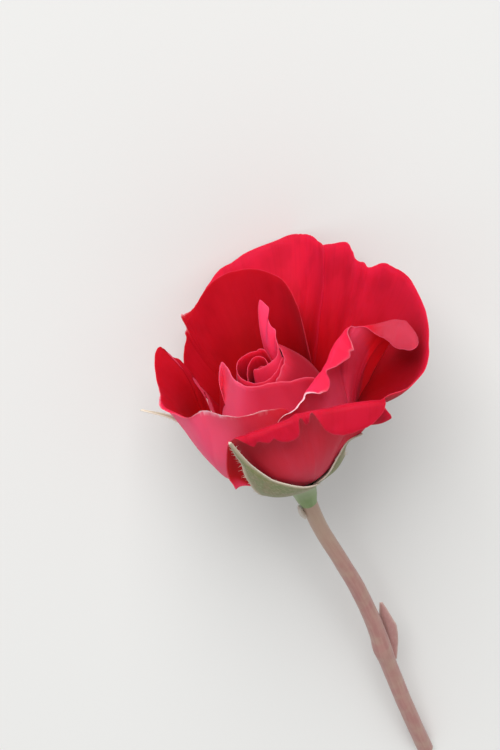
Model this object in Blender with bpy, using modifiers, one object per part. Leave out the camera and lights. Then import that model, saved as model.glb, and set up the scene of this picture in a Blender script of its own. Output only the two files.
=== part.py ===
"""A garden rose, half open, picked with its stem and lying on a flat surface.

The flower is modelled upright in its own frame, in millimetres: +Z runs up through the flower,
an azimuth of 0 degrees is +X, and the hip's top lies RECEPTACLE_TOP above the origin. The pieces
hang on an empty that lays them down together on the points that the picked flower rests on: two
places on the back petal's rim and the stem's cut end.
Run it with: blender --background --python part.py
"""

import math
from dataclasses import dataclass

import bmesh
import bpy
from mathutils import Matrix, Vector

MM = 0.001

# Driving dimensions, in millimetres and degrees.
PETAL_THICKNESS = 0.4
PETAL_COLUMNS = 12  # faces across a petal
RECEPTACLE_TOP = 6.0
CLAW_HEIGHT = 6.5  # where petals leave the receptacle
WAIST_HEIGHT = 19.0  # where the cup's wall turns upright
SHORTEST_CURL = 0.4  # length of the last rows where a rolled rim runs out flat
CLAW_DELAY, CLAW_SPREAD = 1.5, 2.6  # how late and how fast a petal widens above its narrow claw
HANDLE = 0.42  # length of a rib's curve handles, as a share of its span
LOWER_ROWS, UPPER_ROWS, CURL_ROWS = 4, 6, 3
SEPAL_THICKNESS = 0.7
STEM_DIAMETER = 4.4
RECEPTACLE_SIDES = 20
STAMEN_COUNT = 10


@dataclass(frozen=True)
class Rim:
    """A point of a petal's rim: its place and outward lean, and the length and turn rolled past it."""

    azimuth: float
    radius: float
    height: float
    lean: float
    curl: float = 0.0
    turn: float = 120.0

    def values(self):
        return (self.azimuth, self.radius, self.height, self.lean, self.curl, self.turn)


@dataclass(frozen=True)
class Petal:
    """One petal: where its claw stands, how wide its waist is and the rim that it runs up to."""

    name: str
    claw_azimuth: float
    claw_radius: float
    claw_half_width: float
    rise: float  # degrees above level at the claw
    waists: tuple  # radii of the cup at the waist's height, from the first margin to the last
    rim: tuple
    waist_height: float = WAIST_HEIGHT
    waist_lean: float = 20.0
    curl_radius: float = 1.3
    columns: int = PETAL_COLUMNS


PETALS = (
    Petal("petal_back", 78, 5.9, 24, 42, (16.2, 16.2), (
        Rim(114, 23, 32, 24),
        Rim(106, 33.0, 42, 34),
        Rim(95, 36.0, 47, 34),
        Rim(84, 36.4, 49.4, 32),
        Rim(73, 37.4, 51, 30),
        Rim(62, 39.9, 51.4, 30),
        Rim(54, 39.9, 51.8, 28),
        Rim(49, 37.6, 51.2, 26),
        Rim(47, 32, 45, 26),
        Rim(46, 23.5, 34, 20),
    ), columns=15),
    Petal("petal_right_back", 10, 5.9, 24, 38, (17.2, 17.2), (
        Rim(64, 22.5, 26, 24),
        Rim(60, 31.5, 38, 32),
        Rim(55, 39.2, 47.6, 34),
        Rim(50, 40.6, 51.3, 30),
        Rim(45, 39.6, 51.7, 27),
        Rim(37, 38.8, 52.0, 26),
        Rim(32.5, 37.2, 50.3, 26),
        Rim(29, 37.6, 48.2, 28),
        Rim(22, 38.2, 48.6, 30),
        Rim(15, 40.3, 50.2, 28),
        Rim(6, 41.0, 50, 28),
        Rim(-4, 41.4, 48.8, 30),
        Rim(-14, 42.8, 46.5, 34),
        Rim(-23, 42.3, 44.0, 36),
        Rim(-32, 38.4, 40.2, 36),
        Rim(-37, 33.2, 35.0, 36),
        Rim(-38.5, 33.0, 30.4, 44),
        Rim(-34, 27.4, 28.0, 40),
        Rim(-25, 19.6, 25, 26),
    ), columns=22),
    Petal("petal_front", -86, 5.9, 24, 38, (17.4, 17.4, 17.4, 17.4), (
        Rim(-134, 22.6, 24.5, 96),
        Rim(-130, 23.6, 30.5, 62),
        Rim(-125.5, 22.8, 39.0, 30, 1.5, 150),
        Rim(-120, 22.8, 40.9, 30, 3.5, 150),
        Rim(-112, 22.4, 42.0, 30, 4.5, 140),
        Rim(-103, 22.2, 42.4, 30, 4.5, 130),
        Rim(-93, 22.4, 43.0, 30, 5.5, 130),
        Rim(-80, 22.8, 43.1, 32, 2.5, 100),
        Rim(-73, 23.5, 43.4, 36, 3, 100),
        Rim(-65, 25.8, 43.3, 38, 7, 120),
        Rim(-55, 29.8, 43, 42, 8, 120),
        Rim(-47, 35.0, 41.3, 46, 4, 110),
        Rim(-45, 29.0, 31, 40, 0, 90),
    ), waist_lean=26, columns=20),
    Petal("petal_left", 188, 5.9, 24, 42, (16.5, 17.6, 17.8, 15.6, 14.6), (
        Rim(147, 20.0, 36, 18),
        Rim(144, 24.0, 43.4, 28),
        Rim(143, 27.8, 46.4, 36),
        Rim(150, 27.6, 44.8, 32),
        Rim(166, 26.3, 43.4, 28),
        Rim(183, 25.4, 43, 18),
        Rim(199, 24.0, 43.8, 8),
        Rim(212, 21.0, 44.8, 4),
        Rim(228, 19.4, 45, 14),
        Rim(246, 19.2, 45, 12),
        Rim(262, 18.4, 44.6, 10),
        Rim(278, 17.8, 42.4, 8),
        Rim(286, 16.2, 30, 4),
    ), columns=18),
    Petal("petal_back_left", 96, 4.75, 20, 46, (15.2, 15.2), (
        Rim(148, 18.6, 24, 14),
        Rim(141, 24.2, 36.6, 18),
        Rim(132, 24.2, 43.5, 14),
        Rim(122, 26.4, 48.4, 18),
        Rim(117, 24.6, 48.6, 16),
        Rim(110, 25.2, 50.2, 16),
        Rim(101, 27.2, 51.6, 18),
        Rim(90, 28.7, 52.2, 20),
        Rim(77, 28.5, 52.5, 20),
        Rim(64, 26.2, 51.2, 18),
        Rim(52, 22.8, 48.6, 14),
        Rim(44, 19.8, 43.5, 8),
        Rim(38, 16.6, 34, 2),
    ), columns=19),
    Petal("petal_right", -40, 4.75, 20, 44, (16.0, 16.1, 16.2), (
        Rim(-96, 18.0, 30, 6, 0, 90),
        Rim(-90, 19.8, 40.0, 10, 0.8, 90),
        Rim(-68, 19.4, 43.0, 12, 2.5, 100),
        Rim(-47, 19.2, 45.8, 14, 6, 110),
        Rim(-29, 20.8, 48.7, 20, 5, 110),
        Rim(-19, 25.0, 51, 34, 1.2, 80),
        Rim(-16, 29.6, 50.6, 44, 3.5, 80),
        Rim(-15, 34.4, 49.9, 50, 7.5, 90),
        Rim(-15, 39.2, 48.9, 54, 8, 90),
        Rim(-12, 32.0, 40.5, 46, 0, 80),
        Rim(-12, 24.7, 33, 30, 0, 80),
        Rim(-15, 18.1, 24, 20, 0, 80),
    ), columns=20),
    Petal("petal_inner_front", 232, 4.75, 20, 50, (13.7, 13.6), (
        Rim(186, 14.4, 24, -4),
        Rim(168, 11.6, 37, -10),
        Rim(151, 10.6, 43.2, -6),
        Rim(150, 10.2, 44.4, -6),
        Rim(178, 7.8, 43.0, -12),
        Rim(206, 7.4, 42.5, -14),
        Rim(235, 7.2, 42.5, -14),
        Rim(262, 7.8, 42.8, -14),
        Rim(286, 9.0, 43.2, -12),
        Rim(303, 11.6, 43.4, -4),
        Rim(316, 15.2, 42, 2),
        Rim(324, 16.0, 30, 4),
    ), columns=18),
    Petal("petal_inner_right", 14, 4.75, 18, 54, (12.7, 12.8), (
        Rim(62, 13.0, 24, 4),
        Rim(54, 10.6, 36, -16),
        Rim(40, 8.9, 43.2, -26),
        Rim(22, 7.6, 45.0, -34),
        Rim(0, 7.2, 45.4, -38),
        Rim(-24, 7.2, 45.0, -38),
        Rim(-48, 7.25, 44.2, -34),
        Rim(-68, 7.4, 42.6, -30),
        Rim(-82, 9.0, 37.6, -20),
        Rim(-88, 12.1, 26, 0),
    ), waist_lean=12, columns=16),
    Petal("petal_tall", -2, 3.85, 22, 64, (11.7, 9.6), (
        Rim(104, 9.0, 34, -12),
        Rim(86, 7.2, 44, -6),
        Rim(73, 8.2, 49.6, 10),
        Rim(65, 11.4, 54.8, 22),
        Rim(50, 10.0, 51.8, 14),
        Rim(38, 7.4, 48.4, 4),
        Rim(12, 5.6, 46.0, -8),
        Rim(-24, 5.0, 45.4, -12),
        Rim(-64, 4.4, 45.2, -12),
        Rim(-100, 4.2, 45, -12),
        Rim(-108, 4.6, 36, -12),
    ), waist_lean=4, columns=20),
    Petal("petal_spiral_outer", -144, 3.85, 22, 64, (11.5, 9.3), (
        Rim(-8, 9.8, 33, -14),
        Rim(-14, 6.6, 44.5, -10),
        Rim(-46, 6.1, 44.8, -12),
        Rim(-80, 6.1, 44.3, -14),
        Rim(-112, 6.0, 44.0, -14),
        Rim(-142, 6.0, 44.2, -14),
        Rim(-170, 5.8, 44.6, -14),
        Rim(-205, 5.4, 45.3, -12),
        Rim(-245, 5.2, 46.0, -8),
        Rim(-272, 5.1, 46.0, -8),
        Rim(-280, 7.5, 33, -8),
    ), waist_lean=4, columns=20),
    Petal("petal_spiral_inner", 123, 3.85, 22, 68, (7.7, 7.7), (
        Rim(238, 4.9, 36, -10),
        Rim(228, 4.6, 43.6, -12),
        Rim(200, 4.5, 44.4, -14),
        Rim(165, 4.2, 44.8, -14),
        Rim(125, 3.7, 45.3, -12),
        Rim(85, 3.7, 45.4, -10),
        Rim(50, 3.6, 44.8, -10),
        Rim(20, 3.6, 43, -10),
        Rim(8, 4.5, 34, -10),
    ), waist_lean=2, columns=18),
    Petal("petal_heart", 58, 3.05, 22, 76, (5.0, 5.0), (
        Rim(-100, 2.8, 36, -8),
        Rim(-80, 2.4, 42.6, -8),
        Rim(-20, 2.3, 43.2, -8),
        Rim(40, 2.1, 43.4, -8),
        Rim(100, 2.1, 43.6, -8),
        Rim(160, 2.1, 43.6, -8),
        Rim(200, 2.1, 42.6, -8),
        Rim(216, 2.4, 36, -8),
    ), waist_lean=0, columns=16),
)


def spline(points, t):
    """A Catmull-Rom curve through tuples of numbers, at t in steps of one point."""
    last = len(points) - 1
    index = min(int(t), last - 1)
    s = t - index
    p1, p2 = points[index], points[index + 1]
    p0 = points[index - 1] if index > 0 else tuple(2 * a - b for a, b in zip(p1, p2))
    p3 = points[index + 2] if index + 2 <= last else tuple(2 * b - a for a, b in zip(p1, p2))
    return tuple(
        0.5 * (2 * b + (c - a) * s + (2 * a - 5 * b + 4 * c - d) * s**2
               + (3 * b - a - 3 * c + d) * s**3)
        for a, b, c, d in zip(p0, p1, p2, p3)
    )


def bezier(p0, p1, p2, p3, t):
    """A point of a cubic Bezier curve."""
    q = 1 - t
    return p0 * q**3 + p1 * (3 * t * q * q) + p2 * (3 * t * t * q) + p3 * t**3


def heading(lean):
    """The direction, in the plane of radius and height, that leans out by this many degrees."""
    return Vector((math.sin(math.radians(lean)), math.cos(math.radians(lean))))


def span(start, start_lean, end, end_lean, t):
    """A point between two places on a rib, leaving and reaching them at these leans."""
    reach = (end - start).length * HANDLE
    return bezier(start, start + heading(start_lean) * reach, end - heading(end_lean) * reach, end, t)


def turn_side(petal):
    """+1 where the rim's azimuths rise along the list, and -1 where they fall."""
    return 1 if petal.rim[-1].azimuth > petal.rim[0].azimuth else -1


def rib(petal, values, u):
    """The points of one rib in the flower's frame, from the claw up to the rim's crest."""
    azimuth, radius, height, lean = values[:4]
    foot_azimuth = petal.claw_azimuth + turn_side(petal) * petal.claw_half_width * (2 * u - 1)
    foot = Vector((petal.claw_radius, CLAW_HEIGHT))
    (girth,) = spline([(value,) for value in petal.waists], u * (len(petal.waists) - 1))
    waist = Vector((girth, petal.waist_height))
    crest = Vector((radius, height))
    profile = [span(foot, 90 - petal.rise, waist, petal.waist_lean, k / LOWER_ROWS)
               for k in range(LOWER_ROWS)]
    profile += [span(waist, petal.waist_lean, crest, lean, k / UPPER_ROWS)
                for k in range(UPPER_ROWS + 1)]
    points = []
    for row, place in enumerate(profile):
        share = 1 - (1 - (row / (LOWER_ROWS + UPPER_ROWS)) ** CLAW_DELAY) ** CLAW_SPREAD
        angle = math.radians(foot_azimuth + (azimuth - foot_azimuth) * share)
        points.append(Vector((place.x * math.cos(angle), place.x * math.sin(angle), place.y)))
    return points


def petal_surface(petal):
    """A petal's middle surface, as columns of points from its claw to its free rim."""
    rim = [point.values() for point in petal.rim]
    stations = [spline(rim, i / petal.columns * (len(rim) - 1)) for i in range(petal.columns + 1)]
    columns = [rib(petal, values, i / petal.columns) for i, values in enumerate(stations)]
    if not any(point.curl for point in petal.rim):
        return columns
    crests = [column[-1] for column in columns]
    for i, (column, values) in enumerate(zip(columns, stations)):
        length, turn = max(values[4], SHORTEST_CURL), values[5]
        along = (crests[min(i + 1, petal.columns)] - crests[max(i - 1, 0)]).normalized()
        upward = (column[-1] - column[-2]).normalized()
        outward = (along.cross(upward) * turn_side(petal)).normalized()
        arc = min(length * CURL_ROWS / (CURL_ROWS + 1), math.radians(turn) * petal.curl_radius)
        steps = [arc / CURL_ROWS] * CURL_ROWS + [length - arc]
        place, passed = column[-1], 0.0
        for step in steps:
            turned = min((passed + step / 2) / petal.curl_radius, math.radians(turn))
            place = place + (upward * math.cos(turned) + outward * math.sin(turned)) * step
            passed += step
            column.append(place)
    return columns


@dataclass(frozen=True)
class Sepal:
    """One sepal: its azimuth and the radius and height of points along its keel, claw to tip."""

    name: str
    azimuth: float
    keel: tuple
    twist: float = 0.0  # degrees that the tip swings round the flower
    breadth: float = 1.0  # its width as a share of the widest sepal's


SEPAL_HALF_WIDTHS = (2.7, 4.1, 3.8, 1.9, 1.0, 0.3)
SEPAL_KEEL_RISE = 0.5  # how far the keel stands out from the margins
SEPAL_COLUMNS, SEPAL_ROWS = 4, 11

SEPALS = (
    Sepal("sepal_left_front", -120, (
        (6.7, 5.0), (12.8, 10.4), (18.2, 17.6), (21.0, 24), (22.8, 30), (23.6, 35.5),
    ), -4),
    Sepal("sepal_right", -48, (
        (6.7, 5.0), (12.0, 9.6), (16.8, 14.4), (20.0, 19.8), (22.8, 25), (25.8, 30.6),
    ), -4, 0.6),
    Sepal("sepal_left", 150, (
        (6.7, 5.0), (12.6, 9.8), (18.6, 15.2), (23.4, 20.2), (28.8, 25.2), (36.6, 28),
    ), 1),
    Sepal("sepal_back", 94, (
        (6.7, 5.0), (12.6, 9.8), (18.0, 15.6), (21.4, 20.8), (25.0, 26), (29.0, 31),
    )),
    Sepal("sepal_right_back", 22, (
        (6.7, 5.0), (13.0, 9.4), (18.8, 14.8), (23.0, 19.8), (27.0, 25), (31.4, 30),
    )),
)

# The hip below the flower, as radius and height from the middle of its top to the stem.
RECEPTACLE_PROFILE = (
    (0.0, 0.0), (5.9, 0.0), (6.2, -0.5), (5.7, -2.0), (4.3, -4.2), (3.4, -6.8), (2.9, -9.2),
    (2.5, -11.6), (0.0, -11.6),
)
# The stem's route below the hip, and its radius there as a share of the common one.
STEM_ROUTE = (
    ((0.0, 0.0, -6.1), 0.98), ((0.7, 0.1, -16), 0.94), ((2.7, 0.5, -29), 0.96),
    ((4.4, 1.1, -41), 1.0), ((5.4, 1.7, -53), 1.02), ((5.7, 2.2, -63), 1.08),
    ((5.5, 2.6, -69), 1.2), ((5.8, 3.0, -76), 1.04), ((6.2, 3.7, -90), 1.02),
    ((6.9, 4.7, -104), 1.02), ((7.7, 6.0, -117.5), 1.03),
)
STEM_STEPS = 3  # curve points for each stretch of the route


# A bract beside the stem and a small scale below the hip: points along the middle of each, the
# half width at each point and the direction across it.
BRACT_ROUTE = (
    (7.5, 6.1, -78), (8.2, 5.6, -72), (8.8, 4.9, -66), (9.0, 4.3, -60), (9.3, 3.8, -53.5),
)
BRACT_HALF_WIDTHS = (0.9, 1.8, 2.2, 1.6, 0.3)
BRACT_ACROSS = (0.93, -0.36, 0.0)
SCALE_ROUTE = (
    (-2.3, -1.5, -9.2), (-2.9, -1.8, -7.5), (-3.5, -2.1, -6.1), (-3.9, -2.2, -5.0), (-3.8, -2.1, -4.2),
)
SCALE_HALF_WIDTHS = (0.5, 0.9, 1.1, 0.9, 0.4)
SCALE_ACROSS = (0.1, 1.0, 0.0)
BLADE_COLUMNS, BLADE_STEPS = 2, 2
BLADE_CUP = 0.35  # how far a blade's margins rise, as a share of its half width

# The stamens stand round the styles on the hip's top, inside the innermost petal.
STAMEN_INNER, STAMEN_OUTER, STAMEN_RING = 1.7, 2.5, 1.0
STAMEN_STAGES = ((6.0, 0.3, 0.35), (1.6, 0.5, 0.5), (0.3, 0.1, 2.2), (1.2, 0.1, 1.0), (0.3, 0.0, 0.5))
STYLE_RADIUS, STYLE_HEIGHT, STIGMA_RADIUS = 1.0, 9.0, 1.35
SEAT_GAP = 0.3

FLOOR_FACING = (0.0, 1.0, -0.2)  # the side of the upright flower that it lies on

# Linear colour and roughness of each finish.
FINISHES = {
    "petal": ((0.55, 0.008, 0.03), 0.6),
    "sepal": ((0.2, 0.3, 0.12), 0.7),
    "hip": ((0.22, 0.36, 0.2), 0.6),
    "stalk": ((0.28, 0.12, 0.1), 0.65),
    "pollen": ((0.6, 0.4, 0.06), 0.6),
    "style": ((0.55, 0.5, 0.3), 0.6),
}


def material(name, finish):
    """A material with one principled shader, in the colour and roughness of this finish."""
    colour, roughness = FINISHES[finish]
    made = bpy.data.materials.new(name)
    made.use_nodes = True
    shader = made.node_tree.nodes["Principled BSDF"]
    shader.inputs["Base Color"].default_value = (*colour, 1)
    shader.inputs["Roughness"].default_value = roughness
    shader.inputs["Metallic"].default_value = 0
    return made


def add_object(name, data, collection, finish):
    """Puts a mesh or a curve in the collection under its piece's name, with its own material."""
    made = bpy.data.objects.new(name, data)
    made.data.materials.append(material(name + "_" + finish, finish))
    collection.objects.link(made)
    return made


def lofted_sheet(name, columns, thickness, collection, finish):
    """A sheet lofted through columns of points in millimetres, given its thickness by Solidify."""
    mesh = bpy.data.meshes.new(name)
    rows = len(columns[0])
    points = [point * MM for column in columns for point in column]
    faces = [
        (i * rows + j, (i + 1) * rows + j, (i + 1) * rows + j + 1, i * rows + j + 1)
        for i in range(len(columns) - 1)
        for j in range(rows - 1)
    ]
    mesh.from_pydata(points, [], faces)
    mesh.shade_smooth()
    made = add_object(name, mesh, collection, finish)
    solidify = made.modifiers.new("thickness", "SOLIDIFY")
    solidify.thickness = thickness * MM
    solidify.offset = 0
    return made


def build_sepal(sepal, collection):
    """A sepal, as a pointed sheet that hugs the petals behind it."""
    columns = []
    last = len(sepal.keel) - 1
    for i in range(SEPAL_COLUMNS + 1):
        side = 2 * i / SEPAL_COLUMNS - 1
        column = []
        for j in range(SEPAL_ROWS + 1):
            along = j / SEPAL_ROWS
            radius, height = spline(sepal.keel, along * last)
            (width,) = spline([(value,) for value in SEPAL_HALF_WIDTHS], along * last)
            radius += SEPAL_KEEL_RISE * (1 - side * side) * min(1, 4 * along)
            angle = math.radians(sepal.azimuth + sepal.twist * along)
            angle += side * width * sepal.breadth / radius
            column.append(Vector((radius * math.cos(angle), radius * math.sin(angle), height)))
        columns.append(column)
    return lofted_sheet(sepal.name, columns, SEPAL_THICKNESS, collection, "sepal")


def build_receptacle(collection):
    """The hip, turned round the flower's axis."""
    bm = bmesh.new()
    ring = [bm.verts.new((radius * MM, 0, (RECEPTACLE_TOP + height) * MM))
            for radius, height in RECEPTACLE_PROFILE]
    for first, second in zip(ring, ring[1:]):
        bm.edges.new((first, second))
    mesh = bpy.data.meshes.new("receptacle")
    bm.to_mesh(mesh)
    bm.free()
    made = add_object("receptacle", mesh, collection, "hip")
    screw = made.modifiers.new("turned", "SCREW")
    screw.steps = screw.render_steps = RECEPTACLE_SIDES
    screw.use_merge_vertices = True
    screw.merge_threshold = 0.00001
    return made


def build_tube(name, route, radius, collection, finish):
    """A round tube along points given with a share of its radius, with filled ends."""
    curve = bpy.data.curves.new(name, "CURVE")
    curve.dimensions = "3D"
    curve.bevel_depth = radius * MM
    curve.bevel_resolution = 2
    curve.use_fill_caps = True
    strand = curve.splines.new("POLY")
    values = [(*place, share) for place, share in route]
    count = (len(values) - 1) * STEM_STEPS
    strand.points.add(count)
    for k in range(count + 1):
        x, y, z, share = spline(values, k / STEM_STEPS)
        strand.points[k].co = (x * MM, y * MM, z * MM, 1)
        strand.points[k].radius = share
    return add_object(name, curve, collection, finish)


def build_blade(name, route, half_widths, across, collection, finish):
    """A narrow cupped leaf along a route, as a sheet with its width in one direction."""
    last = len(route) - 1
    columns = []
    for i in range(BLADE_COLUMNS + 1):
        side = 2 * i / BLADE_COLUMNS - 1
        column = []
        for j in range(last * BLADE_STEPS + 1):
            t = j / BLADE_STEPS
            middle = Vector(spline(route, t))
            ahead = Vector(spline(route, min(t + 0.1, last))) - Vector(spline(route, max(t - 0.1, 0)))
            (width,) = spline([(value,) for value in half_widths], t)
            sideways = Vector(across).normalized()
            facing = ahead.normalized().cross(sideways)
            column.append(middle + sideways * side * width + facing * BLADE_CUP * width * side * side)
        columns.append(column)
    return lofted_sheet(name, columns, SEPAL_THICKNESS, collection, finish)


def build_stamens(collection):
    """A ring of stamens: every other top face of a ring is drawn up into a filament and an anther."""
    bm = bmesh.new()
    sides = 2 * STAMEN_COUNT
    heights = (RECEPTACLE_TOP + SEAT_GAP, RECEPTACLE_TOP + SEAT_GAP + STAMEN_RING)
    loops = []
    for radius, height in ((STAMEN_OUTER, heights[0]), (STAMEN_OUTER, heights[1]),
                           (STAMEN_INNER, heights[1]), (STAMEN_INNER, heights[0])):
        turn = [2 * math.pi * k / sides for k in range(sides)]
        loops.append([bm.verts.new((radius * math.cos(a) * MM, radius * math.sin(a) * MM, height * MM))
                      for a in turn])
    tops = []
    for number, (first, second) in enumerate(zip(loops, loops[1:] + loops[:1])):
        for k in range(sides):
            after = (k + 1) % sides
            face = bm.faces.new((first[k], first[after], second[after], second[k]))
            if number == 1 and k % 2 == 0:
                tops.append(face)
    for face in tops:
        for rise, outward, size in STAMEN_STAGES:
            (face,) = bmesh.ops.extrude_discrete_faces(bm, faces=[face])["faces"]
            centre = face.calc_center_median()
            away = Vector((centre.x, centre.y, 0)).normalized() * outward * MM
            for vertex in face.verts:
                vertex.co = centre + (vertex.co - centre) * size + away + Vector((0, 0, rise * MM))
    bmesh.ops.recalc_face_normals(bm, faces=bm.faces)
    mesh = bpy.data.meshes.new("stamens")
    bm.to_mesh(mesh)
    bm.free()
    return add_object("stamens", mesh, collection, "pollen")


def build_styles(collection):
    """The bunch of styles in the flower's middle, wider at the stigmas."""
    bm = bmesh.new()
    bmesh.ops.create_cone(bm, cap_ends=True, segments=10, radius1=STYLE_RADIUS * MM,
                          radius2=STIGMA_RADIUS * MM, depth=STYLE_HEIGHT * MM)
    middle = RECEPTACLE_TOP + SEAT_GAP + STYLE_HEIGHT / 2
    bmesh.ops.translate(bm, vec=(0, 0, middle * MM), verts=bm.verts)
    mesh = bpy.data.meshes.new("styles")
    bm.to_mesh(mesh)
    bm.free()
    mesh.shade_smooth()
    return add_object("styles", mesh, collection, "style")


def laid_down(pieces):
    """The move that lays the upright rose on the floor, on three points of its back.

    The floor is the face of the pieces' convex hull that faces most nearly to the flower's back.
    The flower's head then points to -Y, and the box's bottom centre becomes the origin.
    """
    depsgraph = bpy.context.evaluated_depsgraph_get()
    hull = bmesh.new()
    for piece in pieces:
        evaluated = piece.evaluated_get(depsgraph)
        for vertex in evaluated.to_mesh().vertices:
            hull.verts.new(vertex.co)
        evaluated.to_mesh_clear()
    corners = [vertex.co.copy() for vertex in hull.verts]
    bmesh.ops.convex_hull(hull, input=hull.verts, use_existing_faces=False)
    hull.normal_update()
    middle = sum(corners, Vector()) / len(corners)
    faces = [face for face in hull.faces if face.normal.dot(face.verts[0].co - middle) > 0]
    floor = max(faces, key=lambda face: face.normal.dot(Vector(FLOOR_FACING)))
    down = floor.normal.copy()
    hull.free()
    head = (Vector((0, 0, 1)) - down * down.z).normalized()
    side = head.cross(down)
    turn = Matrix((side, -head, -down))
    turned = [turn @ corner for corner in corners]
    low = Vector(min(corner[k] for corner in turned) for k in range(3))
    high = Vector(max(corner[k] for corner in turned) for k in range(3))
    shift = Vector((-(low.x + high.x) / 2, -(low.y + high.y) / 2, -low.z))
    return Matrix.Translation(shift) @ turn.to_4x4()


def build_pieces(collection):
    """Builds every piece upright, in the flower's own frame."""
    for petal in PETALS:
        lofted_sheet(petal.name, petal_surface(petal), PETAL_THICKNESS, collection, "petal")
    for sepal in SEPALS:
        build_sepal(sepal, collection)
    build_receptacle(collection)
    build_tube("stem", STEM_ROUTE, STEM_DIAMETER / 2, collection, "stalk")
    build_blade("bract", BRACT_ROUTE, BRACT_HALF_WIDTHS, BRACT_ACROSS, collection, "stalk")
    build_blade("stem_scale", SCALE_ROUTE, SCALE_HALF_WIDTHS, SCALE_ACROSS, collection, "hip")
    build_stamens(collection)
    build_styles(collection)
    bpy.context.view_layer.update()


def main():
    """Clears the scene, builds the rose and lays it down."""
    for old in list(bpy.data.objects):
        bpy.data.objects.remove(old)
    collection = bpy.data.collections.new("rose")
    bpy.context.scene.collection.children.link(collection)
    build_pieces(collection)
    pieces = list(collection.objects)
    flower = bpy.data.objects.new("flower", None)
    collection.objects.link(flower)
    for piece in pieces:
        piece.parent = flower
    flower.matrix_world = laid_down(pieces)
    bpy.context.view_layer.update()
    return flower.matrix_world.copy()


LAY = main()
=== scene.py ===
"""A picked garden rose lying on a pale surface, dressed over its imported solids.

The flower is described upright, in millimetres, in its own frame: +Z runs up through the flower and
an azimuth of 0 degrees is +X. Bed.place() lays every point down where the solids lie.
"""

import logging
import math
import random
from dataclasses import astuple, dataclass
from enum import Enum

import bpy
from mathutils import Euler, Matrix, Vector, noise
from mathutils.bvhtree import BVHTree


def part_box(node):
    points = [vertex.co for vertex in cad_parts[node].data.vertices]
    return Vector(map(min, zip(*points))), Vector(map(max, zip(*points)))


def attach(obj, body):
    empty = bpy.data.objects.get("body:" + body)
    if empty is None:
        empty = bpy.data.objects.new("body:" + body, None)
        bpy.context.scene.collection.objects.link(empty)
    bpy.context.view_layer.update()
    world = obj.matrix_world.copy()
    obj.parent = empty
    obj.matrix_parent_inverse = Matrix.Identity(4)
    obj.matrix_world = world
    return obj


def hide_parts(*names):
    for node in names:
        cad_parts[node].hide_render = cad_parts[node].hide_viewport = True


MM = 0.001
CHART_MM = 100  # millimetres to one unit of a piece's UV map
CHART = "petal"  # the name of that map
BODY = "root"

log = logging.getLogger("rose")

Grid = list[list[Vector]]
Table = list[list[float]]
Chart = list[list[tuple[float, float]]]
Skins = list[bpy.types.Material]


class Face(Enum):
    """The material slot of each side of a petal or leaf."""

    OUTER = 0
    INNER = 1
    EDGE = 2


class Whorl(Enum):
    """Where a petal stands: its outer side is paler and its inner side deeper further out, and the side whorl's
    inner side carries painted shade.
    """

    OUTER = "outer"
    SIDE = "side"
    MIDDLE = "middle"
    BUD = "bud"


# Colours and nodes


def linear(code: str) -> tuple[float, float, float, float]:
    """Turns an sRGB hex colour into linear red, green, blue and alpha.

    Args:
        code: The colour, such as "#c02040".

    Returns:
        The four linear values.
    """
    parts = [int(code[k:k + 2], 16) / 255 for k in (1, 3, 5)]
    red, green, blue = (v / 12.92 if v <= 0.04045 else ((v + 0.055) / 1.055) ** 2.4 for v in parts)
    return (red, green, blue, 1.0)


def fill(material: bpy.types.Material, node: bpy.types.Node, inputs: dict[str, object]) -> None:
    """Sets or links inputs of a node.

    Args:
        material: The material whose tree holds it.
        node: The node.
        inputs: Values or output sockets. A name's underscores stand for spaces, and in0, in1 and so
            on are inputs by number.
    """
    for name, value in inputs.items():
        socket = node.inputs[int(name[2:]) if name[2:].isdigit() else name.replace("_", " ")]
        if isinstance(value, bpy.types.NodeSocket):
            material.node_tree.links.new(value, socket)
        else:
            socket.default_value = value


def add_node(material: bpy.types.Material, kind: str, settings: dict[str, object] | None = None,
             output: int | str = 0, **inputs: object) -> bpy.types.NodeSocket:
    """Adds one node with its settings, its plain values and its links.

    Args:
        material: The material whose tree takes the node.
        kind: The node's type name.
        settings: Attributes of the node, such as its blend type.
        output: Which of its outputs is wanted.
        inputs: Values or output sockets for its inputs, as for fill().

    Returns:
        The output's socket.
    """
    node = material.node_tree.nodes.new(kind)
    for name, value in (settings or {}).items():
        setattr(node, name, value)
    fill(material, node, inputs)
    return node.outputs[output]


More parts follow.
